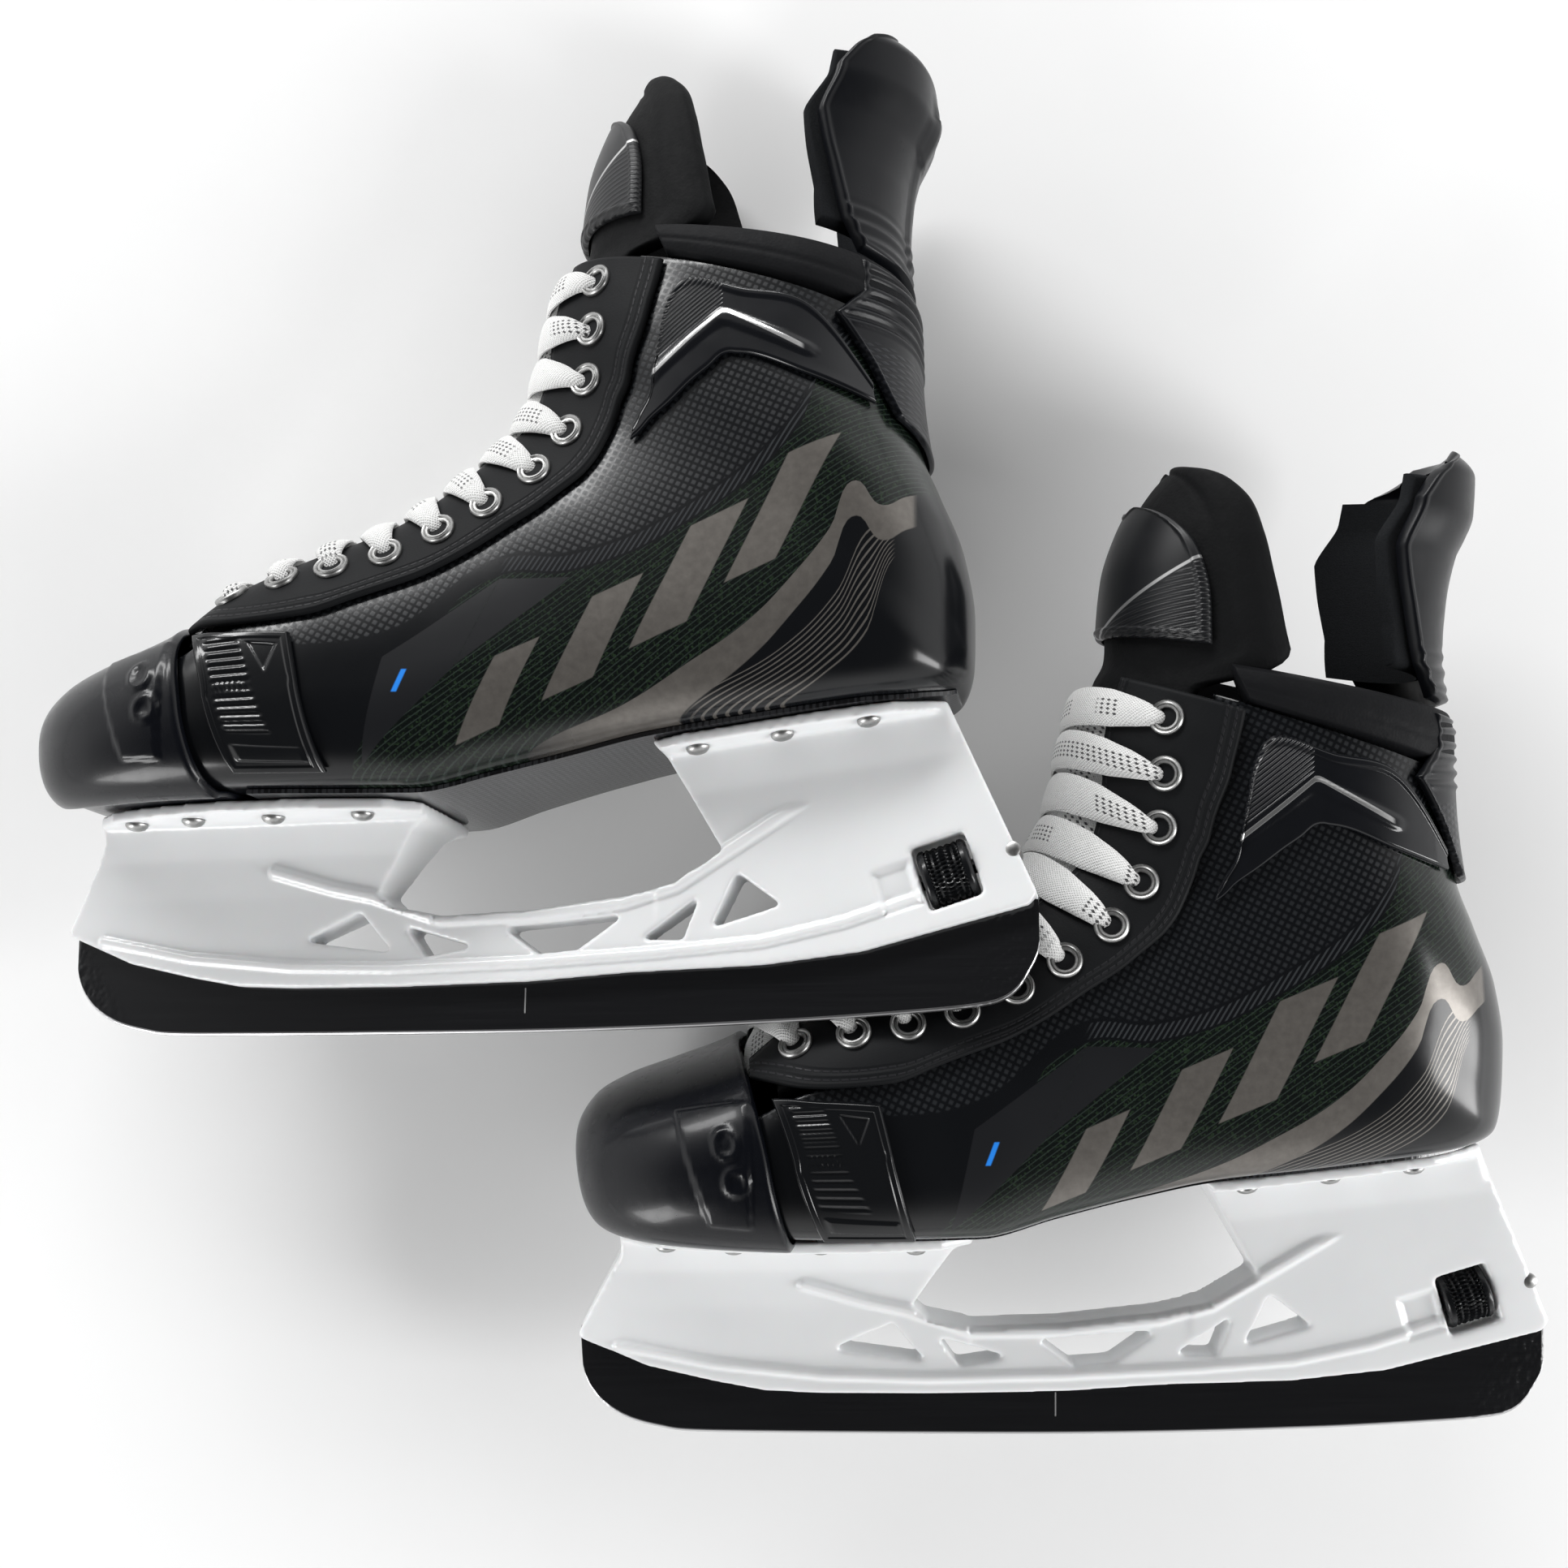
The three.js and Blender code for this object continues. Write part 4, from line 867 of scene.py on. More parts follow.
# ---- boot ----------------------------------------------------------------------------------
def bowl(u):
    g = rim_line(u)
    return -g, g


def boot_shell():
    U, G = wrap(SHELL_FRONT, COLLAR_RUNG, 170, 150, bowl, 0.4)
    return slab(U, G, 0.0, -SHELL_WALL, 1.2)


def boot_liner():
    U, G = wrap(SHELL_FRONT, COLLAR_RUNG, 70, 60, bowl)
    return slab(U, G, LINER_OUT, LINER_IN)


def footbed():
    U, G = wrap(SHELL_FRONT, 14, 50, 16, lambda u: (-0.13 + 0 * u, 0.13 + 0 * u))
    return slab(U, G, LINER_IN - FIT, LINER_IN - FIT - FOOTBED_WALL)


def outsole():
    u = CAP_SOLE + 0.15 + (15 - CAP_SOLE - 0.15) * spread(90)
    r = rung(u)
    j = 2 * spread(18) - 1
    y = r[:, 7:8] + j * (r[:, 5:6] - 1)
    x, z = np.broadcast_to(r[:, :1], y.shape), np.broadcast_to(r[:, 1:2], y.shape)
    return grid_solid(np.stack([x, y, z - FIT], -1), np.stack([x, y, z - FIT - OUTSOLE_WALL], -1))


def polygon_depth(x, z, corners):
    """Distance inside a convex side-view outline, negative outside."""
    depth = np.full(np.shape(x), 1e9)
    for a, n in outline_sides(corners):
        depth = np.minimum(depth, (x - a[0]) * n[0] + (z - a[1]) * n[1])
    return depth


def raised(x, z, corners, soft=0.8):
    return smooth(polygon_depth(x, z, corners), -soft / 2, soft / 2)


TIP_SHARES = (0.02, 0.35, 0.7)   # rings that close the cap's nose
FAR = 99
CAP_PLATE = [(-119, 105.5), (-97, 110.5), (-97, 77.8), (-108.6, 78.2)]
CAP_BOSSES = [(-103.6, 99.6), (-100.7, 90.6)]


def cap_relief(x, z):
    lift = 0.9 * raised(x, z, CAP_PLATE)
    for bx, bz in CAP_BOSSES:
        r = np.hypot(x - bx, z - bz)
        lift += 0.7 * (smooth(r, 4.2, 3.6) - smooth(r, 2.6, 2.0))
    return lift


def toe_cap():
    rings, around = 150, 260
    t = np.linspace(-1, 1, around, endpoint=False)
    g = np.abs(t)
    rear = CAP_SOLE + (CAP_TOP - CAP_SOLE) * g
    s = np.linspace(0.06, 1, rings)[:, None] ** 1.35
    U = rear[None, :] * s
    T = np.broadcast_to(t[None, :], U.shape)
    wall = smooth(np.abs(T), FLAT_SOLE - 0.03, FLAT_SOLE + 0.03)
    flat = skin(U, T, 0)
    run = arc(flat, 0)
    rim = run[-1:] - run
    outer = FIT + OUTSOLE_WALL + wall * (TRIM_OUT + 1 - FIT - OUTSOLE_WALL)
    inner = FIT + wall * (LAYER_GAP + 0.5 - FIT)
    sides = smooth(np.abs(T), 0.26, 0.32) * smooth(np.abs(T), 0.96, 0.88) * smooth(run, 10, 20)
    outer = outer + cap_relief(flat[..., 0], flat[..., 2]) * sides * smooth(rim, 0, 2)
    corner = np.sqrt(1 - (1 - np.clip(rim / 1.6, 0, 1)) ** 2)
    outer = inner + (outer - inner) * (EDGE_KEEP + (1 - EDGE_KEEP) * corner)
    top, low = skin(U, T, outer), skin(U, T, inner)
    nose = rung(0.0)
    tips = []
    for grid, lift in ((top, TRIM_OUT + 1), (low, LAYER_GAP + 0.5)):
        tip = np.array([min(nose[0], nose[2]) - lift, nose[7], (nose[1] + nose[3]) / 2])
        blends = []
        for share in TIP_SHARES:
            ring = tip + (grid[0] - tip) * share
            ring[:, 0] = tip[0] + (grid[0][:, 0] - tip[0]) * share ** 2
            blends.append(ring)
        tips.append(np.concatenate([np.stack(blends), grid]))
    e = np.zeros(tips[0].shape)
    e[..., 1:] = FAR
    e[len(TIP_SHARES):, :, 1] = rim
    e[len(TIP_SHARES):, :, 0] = np.abs(T) * 120
    points, faces, marks = grid_solid(tips[0], tips[1], e, loop=True)
    # The first ring of each skin is closed to a point instead of being joined to the other.
    n = tips[0].shape[0] * around
    keep = ~(np.all((faces % n) < around, axis=1))
    faces = faces[keep]
    ids = np.arange(around)
    nxt = np.roll(ids, -1)
    extra = len(points)
    centres = np.array([points[:around].mean(0), points[n:n + around].mean(0)])
    fan_top = np.stack([np.full(around, extra), ids, nxt, nxt], -1)
    fan_low = np.stack([np.full(around, extra + 1), nxt + n, ids + n, ids + n], -1)
    points = np.concatenate([points, centres])
    marks = np.concatenate([marks, [[0, FAR, FAR]] * 2])
    if np.any((faces == 0) & (np.roll(faces, -1, 1) == 1)):
        fan_top, fan_low = fan_top[:, [0, 2, 1, 1]], fan_low[:, [0, 2, 1, 1]]
    return points, np.concatenate([faces, fan_top, fan_low]), marks


GUARD_LOWER = [(-76.5, 73.5), (-66, 73.5), (-57, 73.5), (-49.3, 73.5)]
GUARD_UPPER = [(-91, 113), (-80.4, 113.5), (-70, 113.5), (-60, 113)]
GUARD_RIB_PITCH = 2.4
GUARD_RIB_FAN = 0.04             # the pitch opens toward the heel
GUARD_RIB_FOOT = 86
GUARD_TRIANGLE = [(-73, 110.5), (-62.5, 109.5), (-66, 100)]


def side_guard(side):
    columns, rows = 90, 150
    U, G = panel(side, GUARD_LOWER, GUARD_UPPER, columns, rows, 0.5)
    i = np.broadcast_to(spread(columns, 0.5)[:, None], U.shape)
    j = np.broadcast_to(spread(rows, 0.5)[None, :], U.shape)

    def relief(x, z, e, ends):
        pitch = GUARD_RIB_PITCH * (1 + GUARD_RIB_FAN * (x + 78) / 10)
        ribs = np.abs(((z - GUARD_RIB_FOOT) / pitch) % 1 - 0.5)
        reach = 0.62 - 0.25 * (j - 0.35)
        area = smooth(i, 0.14, 0.19) * smooth(i, reach, reach - 0.06)
        area = area * smooth(j, 0.34, 0.36) * smooth(j, 0.95, 0.93)
        lift = 0.5 * (smooth(ribs, 0.4, 0.12) - 0.5) * area
        bar = smooth(j, 0.12, 0.15) * smooth(j, 0.28, 0.25) * smooth(i, 0.14, 0.2)
        lift = lift + 0.6 * bar * smooth(i, 0.86, 0.8)
        lift = lift - 0.6 * smooth(polygon_depth(x, z, GUARD_TRIANGLE), 0.2, 0.9)
        piping = smooth(np.minimum(np.minimum(ends, e[..., 1]), e[..., 2]), 2.8, 2.2)
        return lift + 0.35 * piping

    return slab(U, G, TRIM_OUT - 0.2, LAYER_GAP, 1.0, relief)


STAY_LOWER = [(-97, 117), (-82, 116.5), (-57.6, 118.5), (-40, 124.5), (-20, 132), (5, 147),
              (24, 161), (33, 176), (39, 193), (44, 209), (48.5, 228)]
STAY_TOP_RUNG = spot(11, 240)[0]


def eyestay(side):
    lower = np.array([spot(*p) for p in STAY_LOWER])
    i = spread(260, 0.5)
    low = run_through(lower, i)
    u1 = lower[0, 0] + (STAY_TOP_RUNG - lower[0, 0]) * i
    g1 = girth_at_half(u1, throat_half(u1))
    j = spread(44, 0.6)[None, :]
    U = low[:, :1] + (u1[:, None] - low[:, :1]) * j
    G = low[:, 1:] + (g1[:, None] - low[:, 1:]) * j
    return slab(U, side * G, TRIM_OUT, LAYER_GAP, 1.4)


# The profile starts with a disc that closes the bore; the nickel look paints it near black as
# painted shade.
EYELET_PROFILE = [(0, 1.2), (EYELET_HOLE - 0.3, 1.2), (EYELET_HOLE - 0.1, 1.4),
                  (EYELET_HOLE, 3.4), (EYELET_HOLE + 0.35, 3.95), (EYELET_HOLE + 0.9, 4.0),
                  (EYELET_HOLE + 1.2, 3.6), (EYELET_HOLE + 1.5, 4.1), (4.9, 4.25), (5.3, 3.9),
                  (EYELET_RADIUS, 3.3), (EYELET_RADIUS - 0.1, 2.6)]


def eyelet_row(side):
    parts = []
    for u, g in EYELETS:
        centre = skin(u, side * g, 0.0)
        axis = skin(u, side * g, 1.0) - centre
        parts.append(lathe(EYELET_PROFILE, centre, axis, 36))
    return merged(parts)


# ---- laces ---------------------------------------------------------------------------------
STRAND_STEPS = 64
# Share of the way across: height over the form, mm, and width as a share of the lace's.
STRAND_LIFTS = [(0, 0.8), (0.015, 3.0), (0.04, 5.2), (0.085, 5.9), (0.17, 5.4), (0.27, 4.6),
                (0.42, 4.2), (0.55, 3.8), (0.68, 3.0), (0.78, 1.6), (0.86, 0.3), (1, -0.4)]
STRAND_WIDTHS = [(0, 0.48), (0.03, 0.5), (0.1, 0.72), (0.2, 0.95), (0.3, 1.0), (1, 0.97)]
STRAND_SAG = [(0, 1.6), (0.1, 1.3), (0.3, 0.5), (0.7, 0.2), (1, 0)]
STRAND_SAMPLES, STRAND_COLUMNS = 160, 13
CROSSING_DROP = 1.5
MARK_SHIFTS = (7.3, 31.0)        # so that no two strands carry the same marks


def strand(k, side, seed):
    """One pass of the lace: in at an eyelet from outside, over the facing's edge, and under
    the far edge one eyelet nearer the toe."""
    u0, g0 = EYELETS[k]
    u1 = EYELETS[k - 1][0] - 0.1 if k else u0 - 0.75
    g1 = EYELETS[max(k - 1, 0)][1] + 0.045
    q = np.linspace(g0, 2 - g1, STRAND_SAMPLES)
    mid_u = np.linspace(u0, u1, STRAND_SAMPLES)
    steps = np.linalg.norm(np.diff(skin(mid_u, side * q, 2.0), axis=0), axis=-1)
    share = np.concatenate([[0], np.cumsum(steps)])
    share /= share[-1]
    s = np.linspace(0, 1, STRAND_STEPS) ** 1.25
    q = np.interp(s, share, q)
    u = u0 + (u1 - u0) * s
    lift = np.interp(s, *np.array(STRAND_LIFTS).T)
    if side > 0:
        lift = lift - CROSSING_DROP * smooth(np.abs(s - 0.52), 0.3, 0.05)
    kernel = np.array([1, 2, 3, 2, 1]) / 9
    lift[2:-2] = np.convolve(lift, kernel, "valid")
    path = skin(u, side * q, lift)
    n = normal(u, side * q)
    direction = np.gradient(path, axis=0)
    direction /= np.linalg.norm(direction, axis=1, keepdims=True)
    course = path[-1] - path[0]
    flat = course - n * np.sum(n * course, 1, keepdims=True)
    flat /= np.linalg.norm(flat, axis=1, keepdims=True)
    wide = np.cross(n, flat)
    up = np.cross(direction, wide)
    up /= np.linalg.norm(up, axis=1, keepdims=True)
    up = np.where(np.sum(up * n, 1, keepdims=True) < -0.2, -up, up)
    width = LACE_WIDTH * np.interp(s, *np.array(STRAND_WIDTHS).T)
    a = np.linspace(-1, 1, STRAND_COLUMNS)
    thick = LACE_THICKNESS / 2 * (0.35 + 0.65 * np.sqrt(1 - a**2))
    sag = -1.1 * np.abs(a) ** 2.2 * np.interp(s, *np.array(STRAND_SAG).T)[:, None]
    across = a[None, :] * width[:, None] / 2
    base = path[:, None, :] + across[..., None] * wide[:, None, :] + sag[..., None] * up[:, None, :]
    top = base + thick[None, :, None] * up[:, None, :]
    low = base - thick[None, :, None] * up[:, None, :]
    run = arc(path[:, None, :], 0)
    e = np.stack([np.broadcast_to(run, across.shape) + seed * MARK_SHIFTS[0], across,
                  np.full(across.shape, seed * MARK_SHIFTS[1])], -1)
    return grid_solid(top, low, e)


def laces():
    return merged([strand(k, side, k + (0.5 if side > 0 else 0))
                   for k in range(len(EYELETS)) for side in SIDES.values()])


# ---- tongue, collar and tendon guard -------------------------------------------------------
TONGUE_FIRST = spot(-93, 126)[0]
TONGUE_LAST = LAST - 0.5
TONGUE_CROWN = 4.4               # rungs over which its top rounds off
SHIELD_FIRST, SHIELD_LAST = PAD_TOP + 0.35, LAST - 2.4


def tongue_reach(u):
    low = np.maximum(0.965 - rim_line(u), 0.05)
    share = np.clip((u - PAD_TOP - 0.1) / (TONGUE_LAST - PAD_TOP - 0.1), 0, 1)
    high = 0.5 - 0.1 * share
    return low + (high - low) * smooth(u, PAD_TOP - 0.9, PAD_TOP + 0.5)


def tongue():
    def girth(u):
        reach = tongue_reach(u)
        crown = np.clip((u - TONGUE_LAST + TONGUE_CROWN) / TONGUE_CROWN, 0, 1)
        reach = reach * np.sqrt(1 - 0.985 * crown**2.4)
        return 1 - reach, 1 + reach

    U, G = wrap(TONGUE_FIRST, TONGUE_LAST, 190, 72, girth, 0.5)
    j = np.broadcast_to(spread(72, 0.5)[None, :], U.shape)

    def relief(x, z, e, ends):
        free = smooth(U, PAD_TOP - 0.4, PAD_TOP + 0.6)
        border = np.minimum(e[..., 1], e[..., 2])
        # A stuffed roll along each edge, outside the shield, and seams that pull it in.
        roll = free * smooth(border, 0, 7) * smooth(border, 22, 8) * 1.3
        seam = free * smooth(np.abs(border - 16), 3.0, 0.2) * 0.5
        quilt = 0.35 * np.cos(j * np.pi * 6) * (1 - free)
        return roll - seam + quilt

    return slab(U, G, TONGUE_OUT, TONGUE_IN, 2.4, relief)


def tongue_shield():
    def girth(u):
        share = (u - SHIELD_FIRST) / (SHIELD_LAST - SHIELD_FIRST)
        reach = 0.35 * np.sqrt(1 - 0.98 * np.clip(share, 0, 1) ** 3)
        return 1 - reach, 1 + reach

    U, G = wrap(SHIELD_FIRST, SHIELD_LAST, 110, 70, girth, 0.5)

    def relief(x, z, e, ends):
        border = np.minimum(np.minimum(e[..., 1], e[..., 2]), ends)
        return 0.5 * smooth(np.abs(border - 2.6), 1.0, 0.3)

    return slab(U, G, 1.4, TONGUE_OUT + LAYER_GAP, 1.6, relief)


def collar_pad():
    front = edge_through([(48.5, 229), (43.5, 240)])
    U, G = wrap(COLLAR_RUNG - 0.02, PAD_TOP + 0.06, 46, 200,
                lambda u: (-front(u) + 0.004, front(u) - 0.004))
    i = np.broadcast_to(spread(46)[:, None], U.shape)

    def relief(x, z, e, ends):
        return 2.6 * np.sin(np.pi * i) ** 0.6 - 0.3 * smooth(np.abs(i - 0.42), 0.1, 0.0)

    return slab(U, G, 0.6, LINER_IN, 2.2, relief)


ANKLE_LOWER = [(39, 171), (50, 180), (63, 190), (74, 193.5), (92, 186.5), (110, 180)]
ANKLE_UPPER = [(40, 175), (48, 200), (54, 219), (74, 215), (92, 210), (109, 186)]
CHEVRON = [(41, 186), (67.4, 206), (91.6, 194.2)]


def segment_gap(x, z, a, b):
    run = np.subtract(b, a)
    share = np.clip(((x - a[0]) * run[0] + (z - a[1]) * run[1]) / run.dot(run), 0, 1)
    return np.hypot(x - a[0] - share * run[0], z - a[1] - share * run[1])


def ankle_panel(side):
    U, G = panel(side, ANKLE_LOWER, ANKLE_UPPER, 110, 60)

    def relief(x, z, e, ends):
        gap = np.minimum(segment_gap(x, z, *CHEVRON[:2]), segment_gap(x, z, *CHEVRON[1:]))
        return 0.5 * smooth(gap, 2.4, 1.4) + 0.5 * smooth(e[..., 2], 3.2, 2.4)

    return slab(U, G, TRIM_OUT - 0.4, LAYER_GAP, 1.2, relief)


def tendon_base():
    reach = edge_through([(116, 176), (108, 193), (99, 208), (106, 217)])
    U, G = wrap(spot(122, 174)[0], GUARD_FOOT - 0.2, 120, 90,
                lambda u: (-reach(u), reach(u)), 0.5)

    def relief(x, z, e, ends):
        neck = smooth(z, 203, 205) * smooth(z, 226, 224)
        neck = neck * smooth(np.abs(G), reach(U), reach(U) - 0.03)
        lift = 0.55 * neck * np.cos((z - 205) * 2 * np.pi / 4.2)
        return lift + 0.5 * smooth(np.minimum(e[..., 1], e[..., 2]), 2.6, 1.8) * (1 - neck)

    return slab(U, G, TRIM_OUT + 0.2, LAYER_GAP + 0.4, 1.2, relief)


def tendon_guard():
    edge = edge_through([(108, 228), (102, 242), (98, 260), (95, 277), (101, 292), (108, 302),
                         (112, 305)])

    def girth(u):
        g = edge(u) * (0.5 + 0.5 * np.sqrt(1 - smooth(u, LAST - 1.6, LAST) ** 2 * 0.999))
        return -g, g

    U, G = wrap(GUARD_FOOT, LAST, 130, 90, girth, 0.5)

    def relief(x, z, e, ends):
        middle = (e[..., 1] + e[..., 2]) / 2
        side = np.abs(e[..., 1] - middle)
        tall = smooth(z, 232, 240) * smooth(z, 300, 292)
        spine = 1.1 * smooth(side, 4.0, 2.6) * tall
        pad = np.maximum(side / 7.5, np.abs(z - 283) / 9 + side / 16)
        border = np.minimum(np.minimum(e[..., 1], e[..., 2]), ends)
        ribs = 0.35 * smooth(z, 224, 228) * smooth(z, 250, 244) * np.cos(z * 2 * np.pi / 5)
        return spine + 0.8 * smooth(pad, 1.05, 0.85) + 0.6 * smooth(border, 3.0, 2.0) + ribs

    return slab(U, G, 1.8, -1.4, 1.3, relief)


def tendon_liner():
    felt = edge_through([(97, 231), (95, 254), (91, 279), (99, 292)])
    out = -1.4 - LAYER_GAP
    U, G = wrap(GUARD_FOOT + 0.35, LAST - 1.2, 70, 90, lambda u: (-felt(u), felt(u)))
    return slab(U, G, out, out - 4.0, 1.8)


# ---- holder, steel and lock ----------------------------------------------------------------
STEEL_OUTLINE = [(-152.3, 30.6), (-152.1, 25), (-151.5, 20.7), (-149.6, 15.6), (-146, 10.8),
                 (-141.4, 7.2), (-135.3, 4.3), (-127, 2.2), (-117.5, 0.9), (-90, 0.4), (-50, 0.1),
                 (0, 0), (40, 0.6), (79, 1.8), (100, 2.8), (120, 4), (132, 5), (140.5, 6.5),
                 (146, 10), (150, 16), (152, 20), (152.7, 23.2)]
STEEL_TOP = [(150.3, 34), (101.3, 21.6), (71.5, 18.3), (30, 17), (0, 15), (-43, 14.2),
             (-76, 14.4), (-93.7, 15.2), (-110, 18.2), (-131, 23), (-152, 32)]
STEEL_SEAT = 2.0


def steel():
    """The runner, hollow-ground along its lower edge, with its top seated in the holder."""
    x = np.concatenate([np.linspace(-152.3, -117, 60), np.linspace(-115, 118, 120),
                        np.linspace(120, 152.7, 50)])
    low_line = run_through(STEEL_OUTLINE, np.linspace(0, 1, 260))
    top = np.array(STEEL_TOP[::-1])
    zt = np.interp(x, top[:, 0], top[:, 1] + STEEL_SEAT)
    order = np.argsort(low_line[:, 0])
    zl = np.interp(x, low_line[order, 0], low_line[order, 1])
    zl = np.minimum(zl, zt - 0.4)
    j = spread(26, 0.9)[None, :]
    z = zl[:, None] + (zt - zl)[:, None] * j
    X = np.broadcast_to(x[:, None], z.shape)
    depth = np.minimum(z - zl[:, None], np.minimum(X - x[0], x[-1] - X) + 0.2)
    half = STEEL_HALF - 0.35 * smooth(depth, 0.6, 0)
    e = np.stack([z - zl[:, None], z - zl[:, None], X], -1)
    return grid_solid(np.stack([X, half, z], -1), np.stack([X, -half, z], -1), e)


def on_heel_slope(points):
    (x0, z0), (x1, z1) = HEEL_SLOPE
    out = points.copy()
    out[:, 2] += z0 - OUTSOLE_WALL - 2 * FIT - 0.1 + (z1 - z0) / (x1 - x0) * (points[:, 0] - x0)
    return out


FRONT_RIVETS = [(-124, 20), (-103.3, 23), (-76.9, 23), (-47.9, 23)]
REAR_RIVETS = [(54.6, 17), (80.2, 17), (105.9, 17)]
RIVET_PROFILE = [(0, 1.9), (1.4, 1.8), (2.6, 1.35), (3.3, 0.6), (3.5, 0.1), (3.5, -0.2),
                 (2.0, -0.3), (2.0, -7.5), (0, -7.5)]


def rivets(places, rear):
    parts = []
    for x, y in places:
        for side in (-1, 1):
            seat = np.array([x, y * side, -FLANGE_THICKNESS - FIT])
            points, faces, e = lathe(RIVET_PROFILE, seat, (0, 0, -1), 24)
            under = SOLE_HEIGHT + 0.2 - OUTSOLE_WALL - 2 * FIT
            points = on_heel_slope(points) if rear else points + [0, 0, under]
            parts.append((points, faces, e + OUTSIDE_BORE))
    return merged(parts)


def onto_lock(points):
    c, s = math.cos(DIAL_TILT), math.sin(DIAL_TILT)
    x, y, z = points.T
    return np.stack([x * c - z * s + DIAL_MIDDLE[0], y, x * s + z * c + DIAL_MIDDLE[1]], -1)


def lock_dial():
    """A knurled barrel between two smooth bands."""
    half, turns = DIAL_LENGTH / 2, 160
    profile = [(2.6, -half), (DIAL_RADIUS - 1.2, -half), (DIAL_RADIUS - 0.3, -half + 0.6),
               (DIAL_RADIUS, -half + 1.2), (DIAL_RADIUS, -half + 2.2),
               (DIAL_RADIUS - 0.8, -half + 2.6)]
    profile += [(DIAL_RADIUS - 0.7, v) for v in np.linspace(-half + 2.8, half - 2.8, 16)]
    profile += [(r, -h) for r, h in profile[5::-1]]
    points, faces, e = lathe(profile, np.zeros(3), (1, 0, 0), turns)
    radius = np.hypot(points[:, 1], points[:, 2])
    angle = np.arctan2(points[:, 2], points[:, 1])
    grip = smooth(np.abs(points[:, 0]), half - 2.5, half - 3.0) * (radius > 5)
    knurl = sum(0.3 * np.cos(angle * 40 + sign * points[:, 0] * 1.5) for sign in (1, -1))
    points[:, 1:] *= (1 + (knurl * grip / np.maximum(radius, 1)))[:, None]
    ids = np.arange(len(points)).reshape(len(profile), turns)
    first, last = ids[0], ids[-1]
    bore = np.stack([last, first, np.roll(first, -1), np.roll(last, -1)], -1)
    faces = np.concatenate([faces, bore])
    return onto_lock(points), outward(points, faces), e


def copy_node(node):
    source = frame["nodes"][node]
    mesh = source.data.copy()
    copy = bpy.data.objects.new(node + "_work", mesh)
    bpy.context.scene.collection.objects.link(copy)
    return copy


def baked(work):
    """Points and polygons of an object with its modifiers applied; the object is removed."""
    graph = bpy.context.evaluated_depsgraph_get()
    mesh = bpy.data.meshes.new_from_object(work.evaluated_get(graph))
    points = np.empty(len(mesh.vertices) * 3)
    mesh.vertices.foreach_get("co", points)
    faces = [tuple(f.vertices) for f in mesh.polygons]
    bpy.data.objects.remove(work)
    return points.reshape(-1, 3), faces, mesh


HOLDER_VOXEL = 0.00075
DIAL_RECESS = (112, 39.5)        # the shallow scoop in front of the dial
SCREW_PLACE = (146.0, 6.6, 50.0)
SPAR_RIDGE = [(-81.8, 49.8), (-62, 44), (-50, 41.5), (-28, 34), (0, 34.5), (30, 38), (46, 42.5),
              (60, 51), (85.5, 66.3)]
RAIL_RIDGE = [(-140, 30), (-110, 24), (-76, 20.5), (-43, 19.5), (0, 20.5), (40, 22.5), (72, 25),
              (96, 30), (120, 37.5)]


def holder(foot):
    """The CAD holder with its edges rounded, ridges along its spars and recesses in it."""
    work = copy_node(f"{foot}_holder")
    remesh = work.modifiers.new("voxels", "REMESH")
    remesh.mode = "VOXEL"
    remesh.voxel_size = HOLDER_VOXEL
    soften = work.modifiers.new("soften", "SMOOTH")
    soften.factor, soften.iterations = 0.5, 9
    points, faces, mesh = baked(work)
    local = to_skate(foot, points)
    normals = np.empty(len(mesh.vertices) * 3)
    mesh.vertices.foreach_get("normal", normals)
    nl = normals.reshape(-1, 3) @ AXES[foot][1].T
    x, _, z = local.T
    facing = smooth(np.abs(nl[:, 1]), 0.75, 0.93) * smooth(z, 66, 62)

    def ridge(line, height, half):
        gap = np.full(len(x), 99.0)
        for a, b in zip(line, line[1:]):
            gap = np.minimum(gap, segment_gap(x, z, a, b))
        return height * smooth(gap, half, half * 0.35)

    lift = ridge(SPAR_RIDGE, 1.6, 2.4) + ridge(RAIL_RIDGE, 1.3, 2.0)
    along, up = x - DIAL_RECESS[0], z - DIAL_RECESS[1]
    window = np.maximum(np.abs(along + 0.3 * up) / 7, np.abs(up - 0.3 * along) / 8)
    lift -= 1.6 * smooth(window, 1.0, 0.6)
    local[:, 1] += np.sign(nl[:, 1]) * lift * facing
    bpy.data.meshes.remove(mesh)
    return local, faces


def screw():
    x, y, z = SCREW_PLACE
    profile = [(0, 0.9), (1.6, 0.85), (2.3, 0.4), (2.4, -0.5), (0, -0.5)]
    points, faces, e = merged([lathe(profile, np.array([x, side * y, z]), (0, side, 0), 20)
                               for side in SIDES.values()])
    return points, faces, e + OUTSIDE_BORE


# ---- assembly ------------------------------------------------------------------------------
# Name, body it rides, solid, look, slot, and the CAD nodes it stands for where they aren't
# named as it is. A piece with no body is left unattached.
BOOT_PIECES = [
    ("boot_shell", "boot", boot_shell(), "shell", "gloss_shell"),
    ("liner", "boot", boot_liner(), "felt", "felt"),
    ("footbed", "boot", footbed(), "felt", "felt"),
    ("outsole", "boot", outsole(), "sole", "outsole"),
    ("toe_cap", "boot", toe_cap(), "cap", "toe_cap"),
    ("laces", "boot", laces(), "lace", "lace_cotton", ["lace"]),
    ("collar_pad", "boot", collar_pad(), "collar", "collar_leather"),
    ("tongue", None, tongue(), "tongue", "tongue_leather", ["tongue_lower", "tongue_upper"]),
    ("tongue_shield", "tongue_top", tongue_shield(), "shield", "tongue_leather"),
    ("tendon_base", "boot", tendon_base(), "guard", "guard_rubber"),
    ("tendon_guard", None, tendon_guard(), "guard", "guard_rubber"),
    ("tendon_liner", None, tendon_liner(), "felt", "felt"),
]
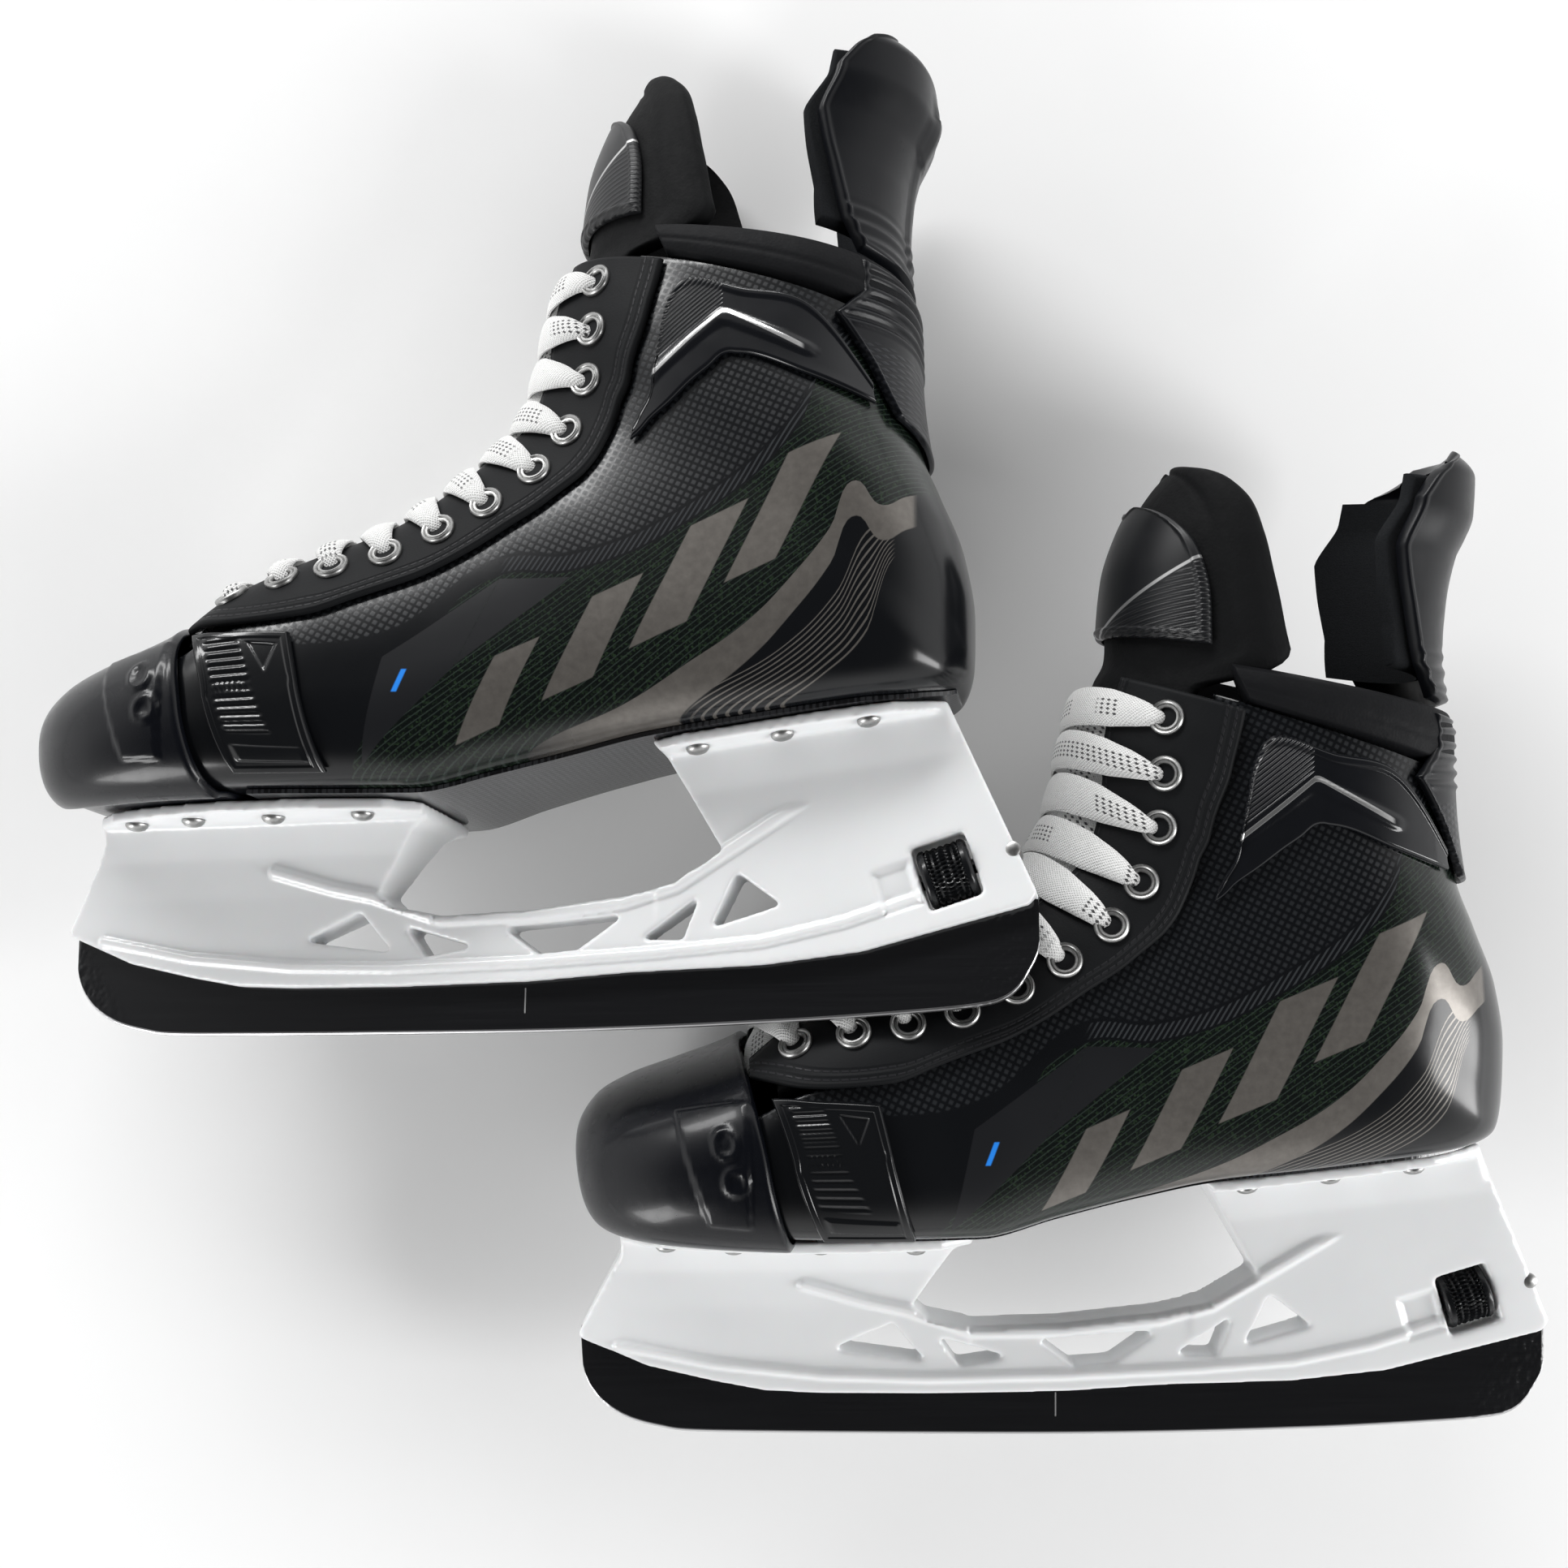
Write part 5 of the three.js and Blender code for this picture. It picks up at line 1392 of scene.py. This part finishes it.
for name, side in SIDES.items():
    BOOT_PIECES += [
        (f"side_guard_{name}", "boot", side_guard(side), "side_guard", "gloss_shell"),
        (f"eyestay_{name}", "boot", eyestay(side), "facing", "matte_facing"),
        (f"eyelets_{name}", "boot", eyelet_row(side), "nickel", "nickel",
         [f"eyelet_row_{name}"]),
        (f"ankle_panel_{name}", "boot", ankle_panel(side), "ankle", "gloss_shell"),
    ]
LOWER_PIECES = [
    ("steel_runner", "boot", steel(), "steel", "black_steel"),
    ("front_rivets", "boot", rivets(FRONT_RIVETS, False), "nickel", "nickel"),
    ("rear_rivets", "boot", rivets(REAR_RIVETS, True), "nickel", "nickel"),
    ("holder_screws", "boot", screw(), "nickel", "nickel", []),
    ("lock_dial", "dial", lock_dial(), "dial", "guard_rubber"),
]
TONGUE_BEND = [skin(PAD_TOP + rungs, 1.0, 0.0) for rungs in (-0.9, 0.6)]
GUARD_BEND = [np.array([TENDON_HINGE[0], 0.0, z]) for z in TENDON_BEND]
# Pieces that cross a joint, with the far body and the bend's start and end; they are only baked
# into the row frame, not bent.
BENDS = {"tongue": ("tongue_top", TONGUE_BEND), "tendon_guard": ("tendon_top", GUARD_BEND),
         "tendon_liner": ("tendon_top", GUARD_BEND)}


def finish_piece(piece, foot, name, body, slot, nodes):
    if body:
        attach(piece, f"{foot}_{body}")
    if nodes:
        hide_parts(*(f"{foot}_{node}" for node in nodes))
    if name in BENDS:
        far, ends = BENDS[name]
        start, end = (tuple(to_row(foot, point[None])[0]) for point in ends)
        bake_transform(piece)
        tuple(start)
        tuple(end)


def place(foot, pieces):
    for name, body, solid, look, slot, *nodes in pieces:
        piece = add_piece(name, foot, solid, LOOKS[look])
        finish_piece(piece, foot, name, body, slot, nodes[0] if nodes else [name])


def build_skate(foot):
    place(foot, BOOT_PIECES)
    points, faces = holder(foot)
    body = mesh_object("holder", foot, points, faces, {}, LOOKS["holder"])
    finish_piece(body, foot, "holder", "boot", "holder_plastic", ["holder"])
    place(foot, LOWER_PIECES)
    for entry in frame["nodes"][f"{foot}_lock_hook"].material_slots:
        entry.material = LOOKS["nickel"]


for foot_name in FEET:
    build_skate(foot_name)

# ---- floor, light and camera ---------------------------------------------------------------
VIEW_MIDDLE = (-0.0048, -0.0151)
VIEW_HEIGHT = 0.636
VIEW_LENS = 41.7
FLOOR_HALF = 3.0
SKY_FADE = (0.3, 0.85, 1.15, 0.05)   # the studio darkens from the walls to overhead


def floor():
    mesh = bpy.data.meshes.new("floor_mesh")
    h = FLOOR_HALF
    z = min(visual_box[0][2], 0)
    mesh.from_pydata([(-h, -h, z), (h, -h, z), (h, h, z), (-h, h, z)], [], [(0, 1, 2, 3)])
    look = Look("floor_paper", Roughness=0.9)
    place = look.node("ShaderNodeTexCoord", out="Object")
    look.colour(look.mix(look.noise(place, 30.0, 3.0), (0.94, 0.94, 0.94), (0.96, 0.96, 0.96)))
    mesh.materials.append(look.material)
    ground = bpy.data.objects.new("floor", mesh)
    bpy.context.scene.collection.objects.link(ground)


def area_light(name, place, target, size, power):
    lamp = bpy.data.lights.new(name, "AREA")
    lamp.shape = "RECTANGLE"
    lamp.size, lamp.size_y = size
    lamp.energy = power
    stand = bpy.data.objects.new(name, lamp)
    stand.location = place
    aim = Vector(np.subtract(target, place))
    stand.rotation_euler = aim.to_track_quat("-Z", "Y").to_euler()
    bpy.context.scene.collection.objects.link(stand)


def camera():
    data = bpy.data.cameras.new("camera")
    data.lens = VIEW_LENS
    data.sensor_width = 36
    data.clip_start = 0.01
    eye = bpy.data.objects.new("camera", data)
    eye.location = (*VIEW_MIDDLE, VIEW_HEIGHT)
    bpy.context.scene.collection.objects.link(eye)
    bpy.context.scene.camera = eye


visual_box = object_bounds()
floor()
camera()
area_light("key", (-0.7, 1.7, 0.75), (0, 0, 0), (1.8, 0.35), 34)
area_light("fill", (1.6, -0.5, 0.8), (0, 0, 0), (0.5, 1.2), 22)
area_light("low", (-1.3, -1.3, 0.8), (0, 0, 0.05), (0.5, 0.9), 15)
world = bpy.data.worlds.new("studio")
world.use_nodes = True
sky = world.node_tree.nodes
direction = sky.new("ShaderNodeTexCoord")
parts = sky.new("ShaderNodeSeparateXYZ")
height = sky.new("ShaderNodeMapRange")
height.interpolation_type = "SMOOTHSTEP"
for key, value in zip(("From Min", "From Max", "To Min", "To Max"), SKY_FADE):
    height.inputs[key].default_value = value
wire = world.node_tree.links.new
wire(direction.outputs["Generated"], parts.inputs[0])
wire(parts.outputs["Z"], height.inputs["Value"])
wire(height.outputs[0], sky["Background"].inputs["Strength"])
sky["Background"].inputs["Color"].default_value = (1, 1, 1, 1)
bpy.context.scene.world = world
bpy.context.scene.view_settings.view_transform = "Standard"
